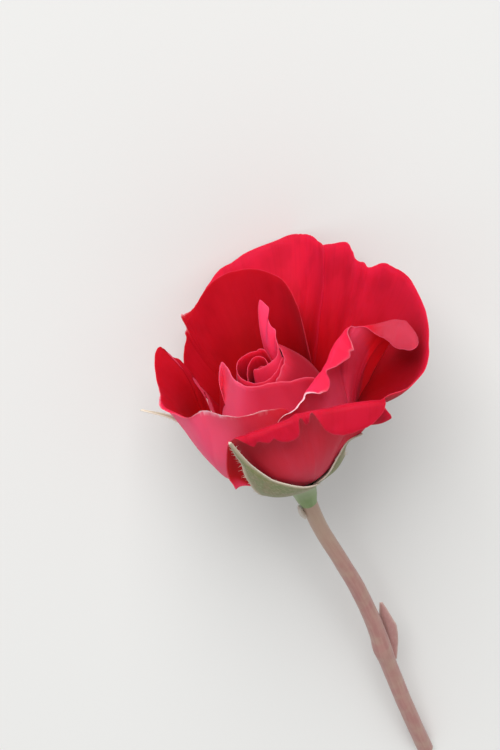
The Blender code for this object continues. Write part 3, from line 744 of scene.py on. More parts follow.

# In each Rim, light above 0 paints a highlight on the outer side and below 0 paints shade on both sides; blush
# above 0 paints a highlight on the rolled part and below 0 a dull sheen.
PETALS = (
    Petal("petal_back", Whorl.OUTER, 78, 5.9, 24, 42, (16.2, 16.2), (
        Rim(114, 23, 32, 24), Rim(106, 32.6, 42, 34), Rim(95, 35.6, 47, 34), Rim(84, 36.0, 49.4, 32),
        Rim(73, 37.0, 51, 30), Rim(62, 39.5, 51.4, 30), Rim(57, 40.2, 51.3, 29), Rim(53, 39.3, 51.5, 28),
        Rim(49.5, 37.7, 51.2, 27, light=-0.15), Rim(47, 36.2, 50.0, 26, light=-0.3),
        Rim(46.5, 31.5, 44.5, 26, light=-0.3), Rim(46, 23.5, 34, 20, light=-0.3),
    ), against="petal_right_back"),
    Petal("petal_right_back", Whorl.OUTER, 10, 5.9, 24, 38, (17.2, 17.2), (
        Rim(64, 22.5, 26, 24, light=-0.3), Rim(60, 31.5, 38, 30, light=-0.3), Rim(55, 37.0, 46, 30, light=-0.2),
        Rim(49, 38.0, 49.8, 28, light=-0.15), Rim(42.5, 38.3, 51.2, 27, light=-0.2),
        Rim(36.5, 39.2, 52.0, 26, light=-0.2), Rim(32.5, 37.7, 51.0, 26, light=-0.2),
        Rim(29, 36.7, 50.2, 26, light=-0.2), Rim(26.5, 37.4, 49.6, 27, light=-0.2),
        Rim(23.5, 37.6, 48.6, 28, light=-0.2), Rim(20, 40.1, 49.6, 29, light=-0.25),
        Rim(12.5, 41.5, 50.2, 28, light=-0.35), Rim(4.5, 42.5, 50.0, 28, light=-0.35),
        Rim(-6, 43.0, 49.4, 28, light=-0.45), Rim(-15.5, 43.8, 48.4, 30, light=-0.75),
        Rim(-24.5, 44.3, 46.6, 34, light=-0.85), Rim(-31, 44.2, 44.4, 39, light=-0.8),
        Rim(-37, 41.5, 42.0, 44, light=-0.75), Rim(-41, 35.3, 39.8, 47, light=-0.75),
        Rim(-42.5, 33.8, 37.6, 50, light=-0.8), Rim(-42.5, 35.2, 33.5, 50), Rim(-39.5, 30.6, 30.6, 42),
        Rim(-32, 25, 27, 36), Rim(-25, 19.6, 25, 26),
    ), columns=120),
    Petal("petal_front", Whorl.OUTER, -86, 5.9, 24, 38, (18.6, 17.8, 17.4, 17.4), (
        Rim(-135, 22.2, 21.6, 74, light=0.6), Rim(-137, 22.5, 25.5, 76), Rim(-132.5, 22.4, 33, 50, 0.3, 120),
        Rim(-127, 22.3, 38.0, 34, 0.6, 140, light=-0.5), Rim(-120, 23.0, 40.9, 30, 1.2, 150, light=-0.8),
        Rim(-114, 22.9, 41.6, 30, 2.8, 150, light=-0.7), Rim(-110, 22.7, 42.0, 30, 4.8, 145, light=-0.5),
        Rim(-106, 22.5, 42.2, 30, 3.8, 140, light=-0.3), Rim(-101, 22.3, 42.5, 30, 5.2, 135, light=-0.1),
        Rim(-97, 22.1, 42.7, 30, 4.6, 130), Rim(-93, 22.2, 42.9, 30, 6.2, 130),
        Rim(-88, 22.3, 43.0, 30, 6.6, 128), Rim(-83, 22.3, 43.0, 30, 6.0, 125),
        Rim(-79.5, 22.4, 43.1, 31, 3.0, 120), Rim(-77, 22.7, 43.2, 32, 2.4, 130),
        Rim(-75, 23.0, 43.2, 33, 4.6, 150), Rim(-73, 23.3, 43.2, 34, 3.8, 140),
        Rim(-71, 23.9, 43.3, 35, 1.4, 110), Rim(-68, 25.0, 43.4, 36, 3.6, 110),
        Rim(-65, 26.2, 43.4, 38, 6.4, 118), Rim(-61, 27.8, 43.3, 39, 8.0, 120),
        Rim(-56, 29.8, 43.0, 41, 8.2, 120), Rim(-52, 31.6, 42.4, 43, 7.6, 120),
        Rim(-48.5, 33.4, 41.7, 45, 6.6, 118), Rim(-46, 35.0, 41.0, 46, 4.2, 112),
        Rim(-45, 35.7, 40.4, 46, 1.4, 100), Rim(-46, 31, 34, 42, 0.4, 90), Rim(-46, 26, 28, 38, 0, 90),
    ), waist_lean=26, columns=190, twist=(0.125, 0.125, -1), dim=0.35),
    Petal("petal_left", Whorl.SIDE, 188, 5.9, 24, 42, (16.8, 18.8, 19.2, 16.2, 14.6), (
        Rim(143, 21.1, 34.6, 20, light=0.3), Rim(141.2, 22.3, 38.0, 24, light=0.3),
        Rim(140.4, 23.6, 41.0, 27, light=0.3), Rim(142.2, 24.4, 42.3, 29, light=0.3),
        Rim(143.4, 25.4, 44.0, 32, light=0.3), Rim(142.8, 26.4, 45.6, 34, light=0.3),
        Rim(143.5, 27.1, 46.6, 36, light=0.3), Rim(147, 27.5, 46.0, 35, light=0.4),
        Rim(155.5, 26.9, 44.6, 30, light=0.6), Rim(165, 26.0, 43.6, 26, light=0.8),
        Rim(173, 25.5, 43.2, 22, 0.3, 90, 0.3, 0.2, 0.9), Rim(178.7, 25.6, 42.9, 20, 0.6, 110, 0.6, 0.5, 0.9),
        Rim(184.6, 25.6, 42.7, 18, 1.4, 130, 0.3, 0.6, 1.0),
        Rim(191.2, 24.4, 42.8, 14, 1.6, 130, 0.1, 0.6, 1.0),
        Rim(198.2, 23.5, 42.8, 11, 1.4, 130, 0.1, 0.5, 1.0), Rim(204.9, 22.4, 43.0, 8, 1.2, 110, 0.1, 0.4, 1.0),
        Rim(208.5, 20.7, 43.8, 5, 0.8, 100, 0.6, 0.4, 0.9), Rim(212, 19.7, 44.3, 5, 0.6, 90, 0.9, 0.4, 0.8),
        Rim(222, 19.4, 44.6, 10, 0.5, 90, 0.8, 0.4, 0.7), Rim(231, 19.4, 44.7, 14, 0.5, 90, 0.9, 0.4, 0.6),
        Rim(239, 19.7, 44.8, 14, 0.5, 90, 0.6, 0.4, 0.45), Rim(246, 19.6, 44.8, 13, 0.5, 90, 0.3, 0.3, 0.3),
        Rim(253, 19.1, 44.7, 12, 0.8, 90, 0.9, 0.3, 0.2), Rim(260, 18.4, 44.5, 11, 0.5, 90, 0.7, 0.2, 0.1),
        Rim(269, 18.2, 43.8, 10, 0.4, 90, 0.2), Rim(277, 18.2, 42.5, 8, 0, 90), Rim(282, 17.2, 37, 6, 0, 90),
        Rim(286, 16.2, 30, 4, 0, 90),
    ), columns=140),
    Petal("petal_back_left", Whorl.SIDE, 96, 4.75, 20, 46, (15.2, 15.2), (
        Rim(147, 18.3, 26.5, 14, turn=10, edge_light=-1.0, light=0.5),
        Rim(140, 19.8, 30.7, 17, turn=10, edge_light=-0.35, light=0.5),
        Rim(142.5, 21.1, 33.8, 17, turn=10, fray=0.15, light=0.4),
        Rim(142.5, 22.4, 37.0, 17, turn=10, fray=0.15), Rim(138, 23.4, 39.6, 16, turn=10, fray=0.1),
        Rim(132.5, 24.0, 41.6, 16, turn=10), Rim(127.2, 24.5, 43.3, 16, 0.5, 10),
        Rim(126, 24.8, 44.2, 16, 0.9, 10, 0.2), Rim(124, 25.1, 45.1, 16, 0.4, 10, 0.4),
        Rim(122.8, 25.3, 45.8, 16, 1.6, 10, 0.5), Rim(121.8, 25.5, 46.3, 16, 2.8, 14, 0.7),
        Rim(120, 25.5, 46.8, 16, 2.0, 12, 0.3), Rim(116, 25.5, 47.8, 17, 0.7, 10),
        Rim(111.5, 25.9, 48.6, 17, 0.5, 10), Rim(106, 27.0, 49.5, 17, turn=10),
        Rim(99, 28.4, 50.2, 18, turn=10), Rim(91, 29.0, 50.8, 20, turn=10), Rim(82.5, 28.3, 51.4, 20, turn=10),
        Rim(76, 27.3, 51.7, 20, turn=10), Rim(67.5, 25.6, 51.5, 19, turn=10),
        Rim(59.5, 23.8, 50.7, 17, turn=10, light=-0.05), Rim(51.5, 21.7, 49.4, 15, turn=10, light=-0.15),
        Rim(45, 19.7, 47.2, 12, turn=10, light=-0.25), Rim(40, 18.0, 43.5, 8, turn=10, light=-0.3),
        Rim(38, 16.4, 34, 2, turn=10, light=-0.3),
    ), columns=150),
    Petal("petal_right", Whorl.MIDDLE, -40, 4.75, 20, 44, (16.0, 16.8, 18.4), (
        Rim(-96, 18.0, 30, 6, 0, 90), Rim(-94, 19.2, 38, 8, 0.4, 90, 0.4, 0.5, 0.2),
        Rim(-88, 19.4, 41.0, 10, 0.9, 95, 0.9, 0.6, 0.2), Rim(-80, 19.4, 42.0, 11, 1.2, 100, 1.0, 0.7, 0.2),
        Rim(-72, 19.0, 43.0, 12, 1.5, 100, 1.0, 0.8, 0.2), Rim(-65, 18.6, 44.0, 12, 2.2, 105, 0.9, 0.9, 0.2),
        Rim(-59, 18.5, 44.6, 13, 4.0, 110, 0.5, 0.7, 0.3), Rim(-53, 18.6, 45.1, 13, 5.2, 110, 0.1, 0.65, 0.6),
        Rim(-48, 18.9, 45.6, 14, 4.4, 110, 0.0, 0.6, 0.8), Rim(-44.5, 19.1, 45.9, 14, 2.2, 110, 0.1, 0.6, 0.8),
        Rim(-39, 19.4, 46.4, 15, 3.2, 110, 0.1, 0.6, 0.8), Rim(-33, 19.7, 47.0, 16, 4.6, 110, 0.1, 0.6, 0.8),
        Rim(-27, 20.1, 47.6, 18, 5.6, 110, 0.1, 0.6, 0.8), Rim(-23, 20.8, 48.2, 20, 5.2, 110, 0.15, 0.6, 0.7),
        Rim(-20, 21.7, 48.9, 23, 5.8, 108, 0.3, 0.6, 0.7), Rim(-18, 22.9, 49.6, 27, 4.4, 104, 0.3, 0.6, 0.6),
        Rim(-17, 24.0, 50.2, 31, 2.8, 98, 0.2, 0.8, 0.7), Rim(-17.4, 25.2, 50.8, 36, 1.0, 90, 0.1, 0.8, 0.7),
        Rim(-18, 26.6, 50.9, 40, 0.8, 90, 0.0, 0.8, 0.7), Rim(-18, 28.3, 50.8, 44, 1.6, 95, 0.0, 0.3, 0.6),
        Rim(-17, 30.4, 50.5, 47, 3.8, 110, 0.0, -0.3, 0.4),
        Rim(-15.8, 32.4, 50.2, 50, 5.4, 124, 0.0, -0.6, 0.2), Rim(-15, 34.6, 49.8, 52, 7.0, 122, 0.0, -0.7),
        Rim(-14.6, 35.8, 49.4, 54, 8.6, 112, 0.0, -0.7), Rim(-14.4, 36.5, 49.0, 55, 10.2, 97, 0.0, -0.7),
        Rim(-14.2, 37.2, 48.5, 55, 11.6, 76, 0.0, -0.7), Rim(-14, 37.3, 48.1, 55, 0.6, 70, 0.0, -0.6),
        Rim(-12.5, 34.6, 43.6, 50, 0.4, 90, 0.0, -0.3), Rim(-12, 30.5, 38.8, 42, 0, 80),
        Rim(-11.5, 26.0, 32.6, 30, 0, 80), Rim(-13, 20.4, 24.2, 22, 0, 80),
    ), columns=200, twist=(0.6, 1.5, 1), curl_radius=1.1),
    Petal("petal_inner_front", Whorl.MIDDLE, 232, 4.75, 20, 50, (11.6, 13.2, 13.6), (
        Rim(190, 11.8, 23, -6, light=0.3), Rim(176, 11.3, 31.7, -4, light=0.9),
        Rim(166, 11.3, 37.6, -6, light=1.0), Rim(157, 10.8, 42.4, -8, light=1.0),
        Rim(150.5, 10.3, 43.9, -6, light=0.9), Rim(150, 9.7, 44.4, -6, light=0.9),
        Rim(160, 8.2, 43.8, -9, light=0.9), Rim(180, 7.2, 43.2, -12, light=1.0),
        Rim(208, 7.0, 42.9, -14, light=0.8), Rim(232, 6.9, 42.8, -14, light=0.3),
        Rim(252, 6.9, 42.8, -14, light=0.1), Rim(276, 7.2, 43.0, -14, light=0.1),
        Rim(292, 8.6, 43.1, -12, light=0.1), Rim(300, 10.8, 43.1, -8, light=0.1),
        Rim(308, 12.6, 43.5, -4, light=0.1), Rim(314, 15.0, 43.6, 0), Rim(318, 16.2, 41.5, 2),
        Rim(324, 16.0, 30, 4),
    ), columns=120),
    Petal("petal_inner_right", Whorl.MIDDLE, 14, 4.75, 18, 54, (12.7, 12.8), (
        Rim(84, 12.6, 26, 0, light=-1.0), Rim(78, 10.4, 37, -14, light=-1.0),
        Rim(62, 8.6, 43.6, -22, light=-1.0), Rim(42, 7.1, 45.6, -28, light=-1.0),
        Rim(20, 6.3, 46.0, -38, light=-1.0), Rim(2, 6.15, 45.6, -42, light=-0.9),
        Rim(-12, 6.45, 44.5, -42, light=-0.9), Rim(-25, 6.45, 44.0, -40, light=-0.9),
        Rim(-38, 6.4, 43.6, -38, light=-0.9), Rim(-55, 6.55, 43.0, -34, light=-0.9),
        Rim(-72, 6.8, 42.0, -30, light=-0.9), Rim(-84, 8.6, 38, -20, light=-0.9),
        Rim(-90, 12.1, 26, 0, light=-0.9),
    ), waist_lean=12),
    Petal("petal_tall", Whorl.BUD, -2, 3.85, 22, 64, (10.6, 9.6), (
        Rim(66, 8.4, 44, 30, light=0.8), Rim(66, 10.2, 50.6, 40, light=0.9), Rim(62, 11.4, 54.3, 46, light=1.0),
        Rim(58, 11.4, 54.7, 48, light=1.0), Rim(53, 10.8, 54.2, 48, light=1.0),
        Rim(46, 10.1, 53.4, 46, light=1.0), Rim(47.5, 9.1, 52.2, 42, light=1.0),
        Rim(44, 8.2, 51.0, 38, light=1.0), Rim(36, 7.5, 50.3, 32, light=1.0), Rim(28, 7.5, 49.9, 28, light=0.9),
        Rim(24, 7.3, 49.6, 24, light=0.9), Rim(17, 6.5, 48.8, 16, light=0.9), Rim(6, 6.1, 48.0, 6, light=0.8),
        Rim(-10, 5.8, 47.2, -2, light=0.6), Rim(-27, 5.5, 46.6, -8, light=0.5),
        Rim(-44, 4.8, 46.2, -10, light=0.6), Rim(-70, 4.0, 45.7, -12, light=0.2),
        Rim(-98, 3.4, 45.3, -12, light=0.1), Rim(-122, 3.5, 44.9, -12, light=0.1),
        Rim(-128, 3.8, 41, -12, light=0.1), Rim(-130, 4.6, 36, -12),
    ), waist_lean=-6, ruffle=0.12, columns=120),
    Petal("petal_spiral_outer", Whorl.BUD, -144, 3.85, 22, 64, (11.5, 9.3), (
        Rim(-8, 9.8, 33, -14), Rim(-13, 7.2, 43.0, -10), Rim(-17, 6.5, 44.8, -8), Rim(-25, 6.2, 44.8, -8),
        Rim(-36, 6.0, 44.5, -10), Rim(-55, 6.2, 44.1, -11), Rim(-74, 6.3, 43.5, -12), Rim(-93, 6.3, 43.2, -13),
        Rim(-113, 6.15, 43.1, -14), Rim(-132, 5.9, 43.3, -14), Rim(-154, 5.8, 43.8, -14),
        Rim(-182, 5.6, 44.2, -13), Rim(-206, 5.4, 44.6, -12), Rim(-225, 4.9, 44.9, -12),
        Rim(-250, 3.9, 45.2, -12), Rim(-278, 3.3, 45.5, -10), Rim(-300, 3.4, 46.0, -6),
        Rim(-325, 3.2, 45.5, -8), Rim(-335, 3.6, 42, -8), Rim(-338, 4.6, 36, -8),
    ), waist_lean=4, ruffle=0.12, columns=120),
    Petal("petal_spiral_inner", Whorl.BUD, 123, 3.85, 22, 68, (7.7, 7.7), (
        Rim(226, 5.0, 36, -10), Rim(218, 4.7, 43.0, -10), Rim(202, 3.5, 44.1, -14), Rim(176, 2.5, 44.5, -14),
        Rim(148, 2.1, 44.6, -14), Rim(86, 1.8, 45.0, -12), Rim(25, 1.7, 45.0, -10), Rim(-28, 2.3, 44.6, -10),
        Rim(-50, 3.0, 44.0, -10), Rim(-56, 3.4, 36, -10),
    ), waist_lean=2, ruffle=0.1),
    Petal("petal_heart", Whorl.BUD, 58, 3.05, 22, 76, (5.0, 5.0), (
        Rim(-100, 2.6, 34, -8), Rim(-80, 1.7, 40.6, -8), Rim(-20, 1.5, 41.4, -8), Rim(40, 1.4, 41.8, -8),
        Rim(100, 1.4, 41.8, -8), Rim(160, 1.5, 41.6, -8), Rim(200, 1.7, 40.6, -8), Rim(216, 2.4, 34, -8),
    ), waist_lean=0, ruffle=0.05),
)

# What the inner skins of the three outer whorls share: a very dark red that is painted shade, and a painted
# highlight on the rolled rims.
CUP = {"dusk": "#7c0208", "shadow": "#7c0204", "lit": "glow", "shine": 0.1}
# What the backs of the two outermost whorls share.
BACK = {"dusk": "#b00c16", "shadow": "#a01420", "rim_share": 0.5, "shine": 0.2}

# The skins of each whorl's petals: the back, the velvety inner side and the rim.
SKINS = {
    Whorl.OUTER: (
        PetalSkin("petal_back_outer_whorl", "#d42c40", "#d63c52", "#c42034", "#f07088", "#ff5078", **BACK),
        PetalSkin("petal_velvet_outer_whorl", "#bc0a18", "#880306", "#ec2450", "#ff4868", "#f8284c", **CUP,
                  rim_share=0.1, vein_share=0.1, bloom=0.05),
        PetalSkin("petal_rim_outer_whorl", "#cc1830", "#a80e1c", "#e42444", "#f04868", "#f84c6c"),
    ),
    # The side whorl's inner skin is darker red as painted shade in the deep pockets of its petals.
    Whorl.SIDE: (
        PetalSkin("petal_back_side_whorl", "#e03448", "#e4485e", "#d02438", "#f07088", "#ff587e", **BACK),
        PetalSkin("petal_velvet_side_whorl", "#a4070e", "#880306", "#ca142e", "#e03454", "#f82c58", **CUP,
                  mute="#e0506c", rim_share=0.08, vein_share=0.08, bloom=0.04),
        PetalSkin("petal_rim_side_whorl", "#b81428", "#980a18", "#cc1c38", "#d8304c", "#f84c6c"),
    ),
    Whorl.MIDDLE: (
        PetalSkin("petal_back_middle_whorl", "#c82440", "#cc243c", "#cc2440", "#f07890", "#ff5478",
                  "#e41424", "#a0162a", rim_share=0.4, vein_share=0.06, shine=0.2),
        PetalSkin("petal_velvet_middle_whorl", "#b40812", "#8c0308", "#d0122e", "#f8506c", "#f82c58", **CUP,
                  rim_share=0.2, bloom=0.04),
        PetalSkin("petal_rim_middle_whorl", "#cc2840", "#b01828", "#d8304c", "#f05878", "#ff6484"),
    ),
    Whorl.BUD: (
        PetalSkin("petal_back_bud", "#c01832", "#a00e24", "#c82040", "#e43c5c", "#f23a60", rim_share=0.4,
                  shine=0.2),
        PetalSkin("petal_velvet_bud", "#e01830", "#b80a14", "#e4203e", "#ec4464", "#fa3860", "#7c0208",
                  "#a00814", rim_share=0.5, shine=0.15, bloom=0.06),
        PetalSkin("petal_rim_bud", "#d43a58", "#c42c4a", "#dc4462", "#e45470", "#f05878"),
    ),
}


@dataclass
class Corolla:
    """The petals.

    Attributes:
        petals: The petals, from the outermost to the heart.
        claw_height: Where petals leave the hip.
        claw_delay: How late a petal widens above its narrow claw.
        claw_spread: How fast it widens there.
        lower_rows: Rows of points from the claw to the waist.
        upper_rows: Rows from the waist to the crest.
        curl_rows: Rows on the arc of a rolled rim.
        flat_rows: Rows past that arc, up to the free edge.
        shortest_curl: Length of those rows where a roll runs out flat.
        calm_columns: Columns at each margin where the waves run out.
        wave_mm: Length of the soft waves across and up a petal.
        wave_rise: Between these lengths up a petal its waves and folds set in.
        frill_mm: Length of the waves of the rim itself.
        frill_reach: How far down from the rim they fade.
        frill_share: Their height as a share of the soft waves'.
        fold_mm: Spacing and length of the soft folds that run up a petal.
        fold_depth: How far they stand out.
        notch_mm: Lengths of the rim's long and short notches.
        notch_depths: Their depths.
        notch_reach: How far down from the rim they move the petal.
        notch_fray: How much deeper they are where the rim is fully torn.
        press_share: Where across a petal it starts to lie flat on its neighbour, and where it does.
        press_heights: Between these heights it starts to lie flat.
        press_gap: Millimetres between the middle surfaces of two petals that lie flat, less at
            the margin.
    """

    petals: tuple[Petal, ...] = PETALS
    claw_height: float = 6.5
    claw_delay: float = 1.5
    claw_spread: float = 2.6
    lower_rows: int = 14
    upper_rows: int = 21
    curl_rows: int = 9
    flat_rows: int = 4
    shortest_curl: float = 0.4
    calm_columns: int = 4
    wave_mm: tuple[float, float] = (8.5, 13)
    wave_rise: tuple[float, float] = (8, 26)
    frill_mm: float = 3.6
    frill_reach: float = 3.5
    frill_share: float = 0.8
    fold_mm: tuple[float, float] = (3.4, 40)
    fold_depth: float = 0.07
    notch_mm: tuple[float, float] = (5.0, 1.7)
    notch_depths: tuple[float, float] = (0.30, 0.16)
    notch_reach: float = 2.5
    notch_fray: float = 1.8
    press_share: tuple[float, float] = (0.5, 0.8)
    press_heights: tuple[float, float] = (14, 24)
    press_gap: float = 0.27

    @property
    def crest(self) -> int:
        """The number of the row on a petal's crest."""
        return self.lower_rows + self.upper_rows

    def rib(self, petal: Petal, top: Rim, u: float) -> list[Vector]:
        """Draws one rib from the claw to the rim's crest.

        Args:
            petal: The petal.
            top: The rim where the rib ends.
            u: The rib's share of the way across.

        Returns:
            Its points, in the flower's frame.
        """
        foot_azimuth = petal.claw_azimuth + petal.side * petal.claw_half_width * (2 * u - 1)
        foot = Vector((petal.claw_radius, self.claw_height))
        waist = Vector((glide(petal.waists, u), petal.waist_height))
        end = Vector((top.radius, top.height))
        profile = [span(foot, 90 - petal.rise, waist, petal.waist_lean, k / self.lower_rows)
                   for k in range(self.lower_rows)]
        profile += [span(waist, petal.waist_lean, end, top.lean, k / self.upper_rows)
                    for k in range(self.upper_rows + 1)]
        points = []
        for row, place in enumerate(profile):
            share = 1 - (1 - (row / self.crest) ** self.claw_delay) ** self.claw_spread
            azimuth = foot_azimuth + (top.azimuth - foot_azimuth) * share
            points.append(polar(place.x, math.radians(azimuth), place.y))
        return points

    def roll(self, petal: Petal, grid: Grid, stations: list[Rim]) -> None:
        """Rolls the rim outwards past its crest.

        Args:
            petal: The petal.
            grid: Its columns up to the crest, which get the rolled rows.
            stations: The rim at each column.
        """
        crests = [column[-1] for column in grid]
        reach = max(1, len(grid) // 40)
        for i, (column, station) in enumerate(zip(grid, stations)):
            length = max(station.curl, self.shortest_curl)
            turn = math.radians(max(station.turn, 10))
            along = (crests[min(i + reach, len(grid) - 1)] - crests[max(i - reach, 0)]).normalized()
            upward = (column[-1] - column[-3]).normalized()
            outward = (along.cross(upward) * petal.side).normalized()
            arc = min(length * 0.75, turn * petal.curl_radius)
            steps = [arc / self.curl_rows] * self.curl_rows
            steps += [(length - arc) / self.flat_rows] * self.flat_rows
            place, passed = column[-1], 0.0
            for step in steps:
                turned = min((passed + step / 2) / petal.curl_radius, turn)
                place = place + (upward * math.cos(turned) + outward * math.sin(turned)) * step
                passed += step
                column.append(place)

    def relieve(self, petal: Petal, grid: Grid, stations: list[Rim], seed: float) -> Grid:
        """Gives a petal its soft folds, its waves near the rim and the rim's small notches.

        Args:
            petal: The petal.
            grid: Its smooth columns of points, outer side to the right of the way up.
            stations: The rim at each column.
            seed: Picks the petal's own waves.

        Returns:
            The finished grid.
        """
        chart, ahead, _ = measure(grid)
        ways, last, result = normals(grid), len(grid) - 1, []
        for i, column in enumerate(grid):
            out = (column[-1] - column[-2]).normalized()
            calm = 0.4 + 0.6 * ease(min(i, last - i), 0, self.calm_columns)
            torn = 1 + self.notch_fray * stations[i].torn
            x = chart[i][0][0]
            notch = self.notch_depths[0] * waver(x / self.notch_mm[0], 0.0, seed + 7)
            notch += self.notch_depths[1] * waver(x / self.notch_mm[1], 0.0, seed + 9)
            frill = petal.ruffle * self.frill_share
            fresh = []
            for point, way, (_, y), left in zip(column, ways[i], chart[i], ahead[i]):
                rise = ease(y, *self.wave_rise)
                wave = petal.ruffle * rise * waver(x / self.wave_mm[0], y / self.wave_mm[1], seed)
                wave += frill * math.exp(-left / self.frill_reach) * waver(x / self.frill_mm, 0.0, seed + 3)
                wave += self.fold_depth * rise * waver(x / self.fold_mm[0], y / self.fold_mm[1], seed + 5)
                deep = notch * (torn * max(0.0, 1 - left / self.notch_reach) ** 2)
                fresh.append(point + way * wave * calm + out * deep)
            result.append(fresh)
        return result

    def draw(self, petal: Petal) -> tuple[Grid, list[Rim]]:
        """Draws a petal's smooth middle surface.

        Args:
            petal: The petal.

        Returns:
            Its columns of points, outer side to the right of the way up, and the rim at each.
        """
        rim = tuple(astuple(point) for point in petal.rim)
        stations = [Rim(*spline(rim, i / petal.columns * (len(rim) - 1))) for i in range(petal.columns + 1)]
        passed = [0.0]
        for before, after in zip(stations, stations[1:]):
            turn = math.radians(after.azimuth - before.azimuth) * before.radius
            step = math.hypot(turn, after.radius - before.radius, after.height - before.height)
            passed.append(passed[-1] + step)
        grid = [self.rib(petal, top, way / passed[-1]) for way, top in zip(passed, stations)]
        if any(point.curl for point in petal.rim):
            self.roll(petal, grid, stations)
        if petal.side < 0:
            grid.reverse()
            stations.reverse()
        return grid, stations

    def shape(self, petal: Petal) -> tuple[Grid, list[Rim]]:
        """Draws a petal with its waves, pressed on its neighbour where it lies on one.

        Args:
            petal: The petal.

        Returns:
            The same as draw().
        """
        grid, stations = self.draw(petal)
        grid = self.relieve(petal, grid, stations, self.petals.index(petal) + 1.0)
        if petal.against:
            other = next(one for one in self.petals if one.name == petal.against)
            self.press(petal, grid, self.shape(other)[0])
        return grid, stations

    def press(self, petal: Petal, grid: Grid, other: Grid) -> None:
        """Presses the last part of a petal flat on another petal's inner side.

        Args:
            petal: The petal.
            grid: Its columns, which are moved.
            other: The other petal's columns.
        """
        tree = BVHTree.FromPolygons([point for column in other for point in column],
                                    cells(len(other), len(other[0])))
        last = len(grid) - 1
        for i, column in enumerate(grid):
            left = last - i if petal.side > 0 else i
            share = ease(1 - left / last, *self.press_share)
            gap = self.press_gap * (0.45 + 0.55 * ease(left, 0, 5))
            shift = 0.0
            for j, point in enumerate(column):
                way = Vector((point.x, point.y, 0)).normalized()
                hit = tree.ray_cast(Vector((0, 0, point.z)), way)[0]
                if hit:
                    shift = hit.xy.length - gap - point.xy.length
                column[j] = point + way * shift * share * ease(point.z, *self.press_heights)

    def swap(self, petal: Petal, row: int, across: float) -> float:
        """How much the other side's skin shows at a place on a petal below its crest, and how much painted shade
        darkens its rolled rim past it.

        Args:
            petal: The petal.
            row: The row of points.
            across: The share of the way across.

        Returns:
            The share, from 0 to 1.
        """
        if petal.twist is None or row > self.crest:
            return petal.dim * ease(row - self.crest, 0, 2)
        crest_share, claw_share, way = petal.twist
        soft = max(0.6, 0.6 * abs(claw_share - crest_share) * petal.columns / self.crest)
        seam = crest_share + (claw_share - crest_share) * (1 - row / self.crest)
        return ease((across - seam) * petal.columns * way, -soft, soft)

    def marks(self, petal: Petal, grid: Grid, stations: list[Rim], seed: float) -> dict[str, Table]:
        """Works out a petal's float maps.

        Args:
            petal: The petal.
            grid: Its columns of points.
            stations: The rim at each.
            seed: Picks its own waves.

        Returns:
            The maps by name, one value to each point.
        """
        chart, ahead, aside = measure(grid)
        maps = {name: [] for name in ("edge", "fray", "glow", "lit", "shade", "mute", "rise", "dusk")}
        crest, rows = self.crest, range(len(grid[0]))
        for i, station in enumerate(stations):
            across = i / petal.columns if petal.side > 0 else 1 - i / petal.columns
            x, torn, dull = chart[i][-1][0], station.torn, max(-station.edge_light, 0)
            width = 0.1 + torn * (0.4 + 0.5 * waver(x / 1.1, 0.0, seed + 13))
            torn *= 0.75 + 0.5 * waver(x / 0.6, 0.0, seed + 17)
            maps["edge"].append([min(ahead[i][j], aside[i][j] + 0.15) for j in rows])
            maps["fray"].append([torn * ease(width - ahead[i][j], -0.25, 0.25) for j in rows])
            # glow and lit carry painted highlights, shade painted shade and mute a painted dull sheen; dusk
            # carries painted shade on a rolled rim that dim darkens.
            maps["glow"].append([max(station.edge_light, 0) * ease(j - crest, -1, 2) for j in rows])
            maps["lit"].append([max(station.light, 0) * ease(j / crest, 0.1, 0.5) for j in rows])
            maps["shade"].append([max(-station.light, 0) * ease(j / crest, 1.0, 0.92) for j in rows])
            maps["mute"].append([
                dull * max(ease(j - crest, -1, 2), ease(ahead[i][j], 3.4 * dull, 2.4 * dull - 0.1))
                for j in rows])
            maps["rise"].append([min(j / crest, 1.0) for j in rows])
            maps["dusk"].append([self.swap(petal, j, across) for j in rows])
        return maps

    def build(self) -> None:
        """Builds every petal with the skins of its whorl."""
        dressed = {whorl: [skin.build() for skin in skins] for whorl, skins in SKINS.items()}
        for number, petal in enumerate(self.petals):
            grid, stations = self.shape(petal)
            sheet = Sheet(grid, self.marks(petal, grid, stations, number + 1.0), measure(grid)[0])
            name = petal.name + "_living"
            add_piece(name, sheet.mesh(name), petal.name, dressed[petal.whorl])


@dataclass(frozen=True)
class Sepal:
    """One sepal.

    Attributes:
        name: Its node's name.
        azimuth: Degrees round the flower to its foot.
        keel: The radius and height along its keel.
        twist: Degrees that the keel swings round towards the tip.
        breadth: Its width as a share of the common one.
        wrap: How much wider its lower part is on the side of the rising azimuth.
    """

    name: str
    azimuth: float
    keel: tuple[tuple[float, float], ...]
    twist: float = 0.0
    breadth: float = 1.0
    wrap: float = 0.0


SEPALS = (
    Sepal("sepal_left_front", -100, (
        (6.2, 4.6), (12.4, 10.2), (18.0, 16.5), (21.0, 24.5), (22.3, 31), (23.5, 36.5), (24.4, 41),
    ), -22.5, 1.0, 0.7),
    Sepal("sepal_right", -64, (
        (6.2, 4.6), (11.4, 9.9), (15.5, 14.3), (18.1, 19.4), (21.3, 24.2), (26.0, 27.6),
    ), 17, 0.8, 0.6),
    Sepal("sepal_left", 150, (
        (6.2, 4.6), (12.6, 9.8), (18.6, 15.2), (23.4, 20.2), (28.8, 25.2), (36.6, 28),
    ), 1, 0.7),
    Sepal("sepal_back", 94, (
        (6.2, 4.6), (12.6, 9.8), (18.0, 15.6), (21.4, 20.8), (25.0, 26), (29.0, 31),
    )),
    Sepal("sepal_right_back", 22, (
        (6.2, 4.6), (13.0, 9.4), (18.8, 14.8), (23.0, 19.8), (27.0, 25), (31.4, 30),
    )),
)


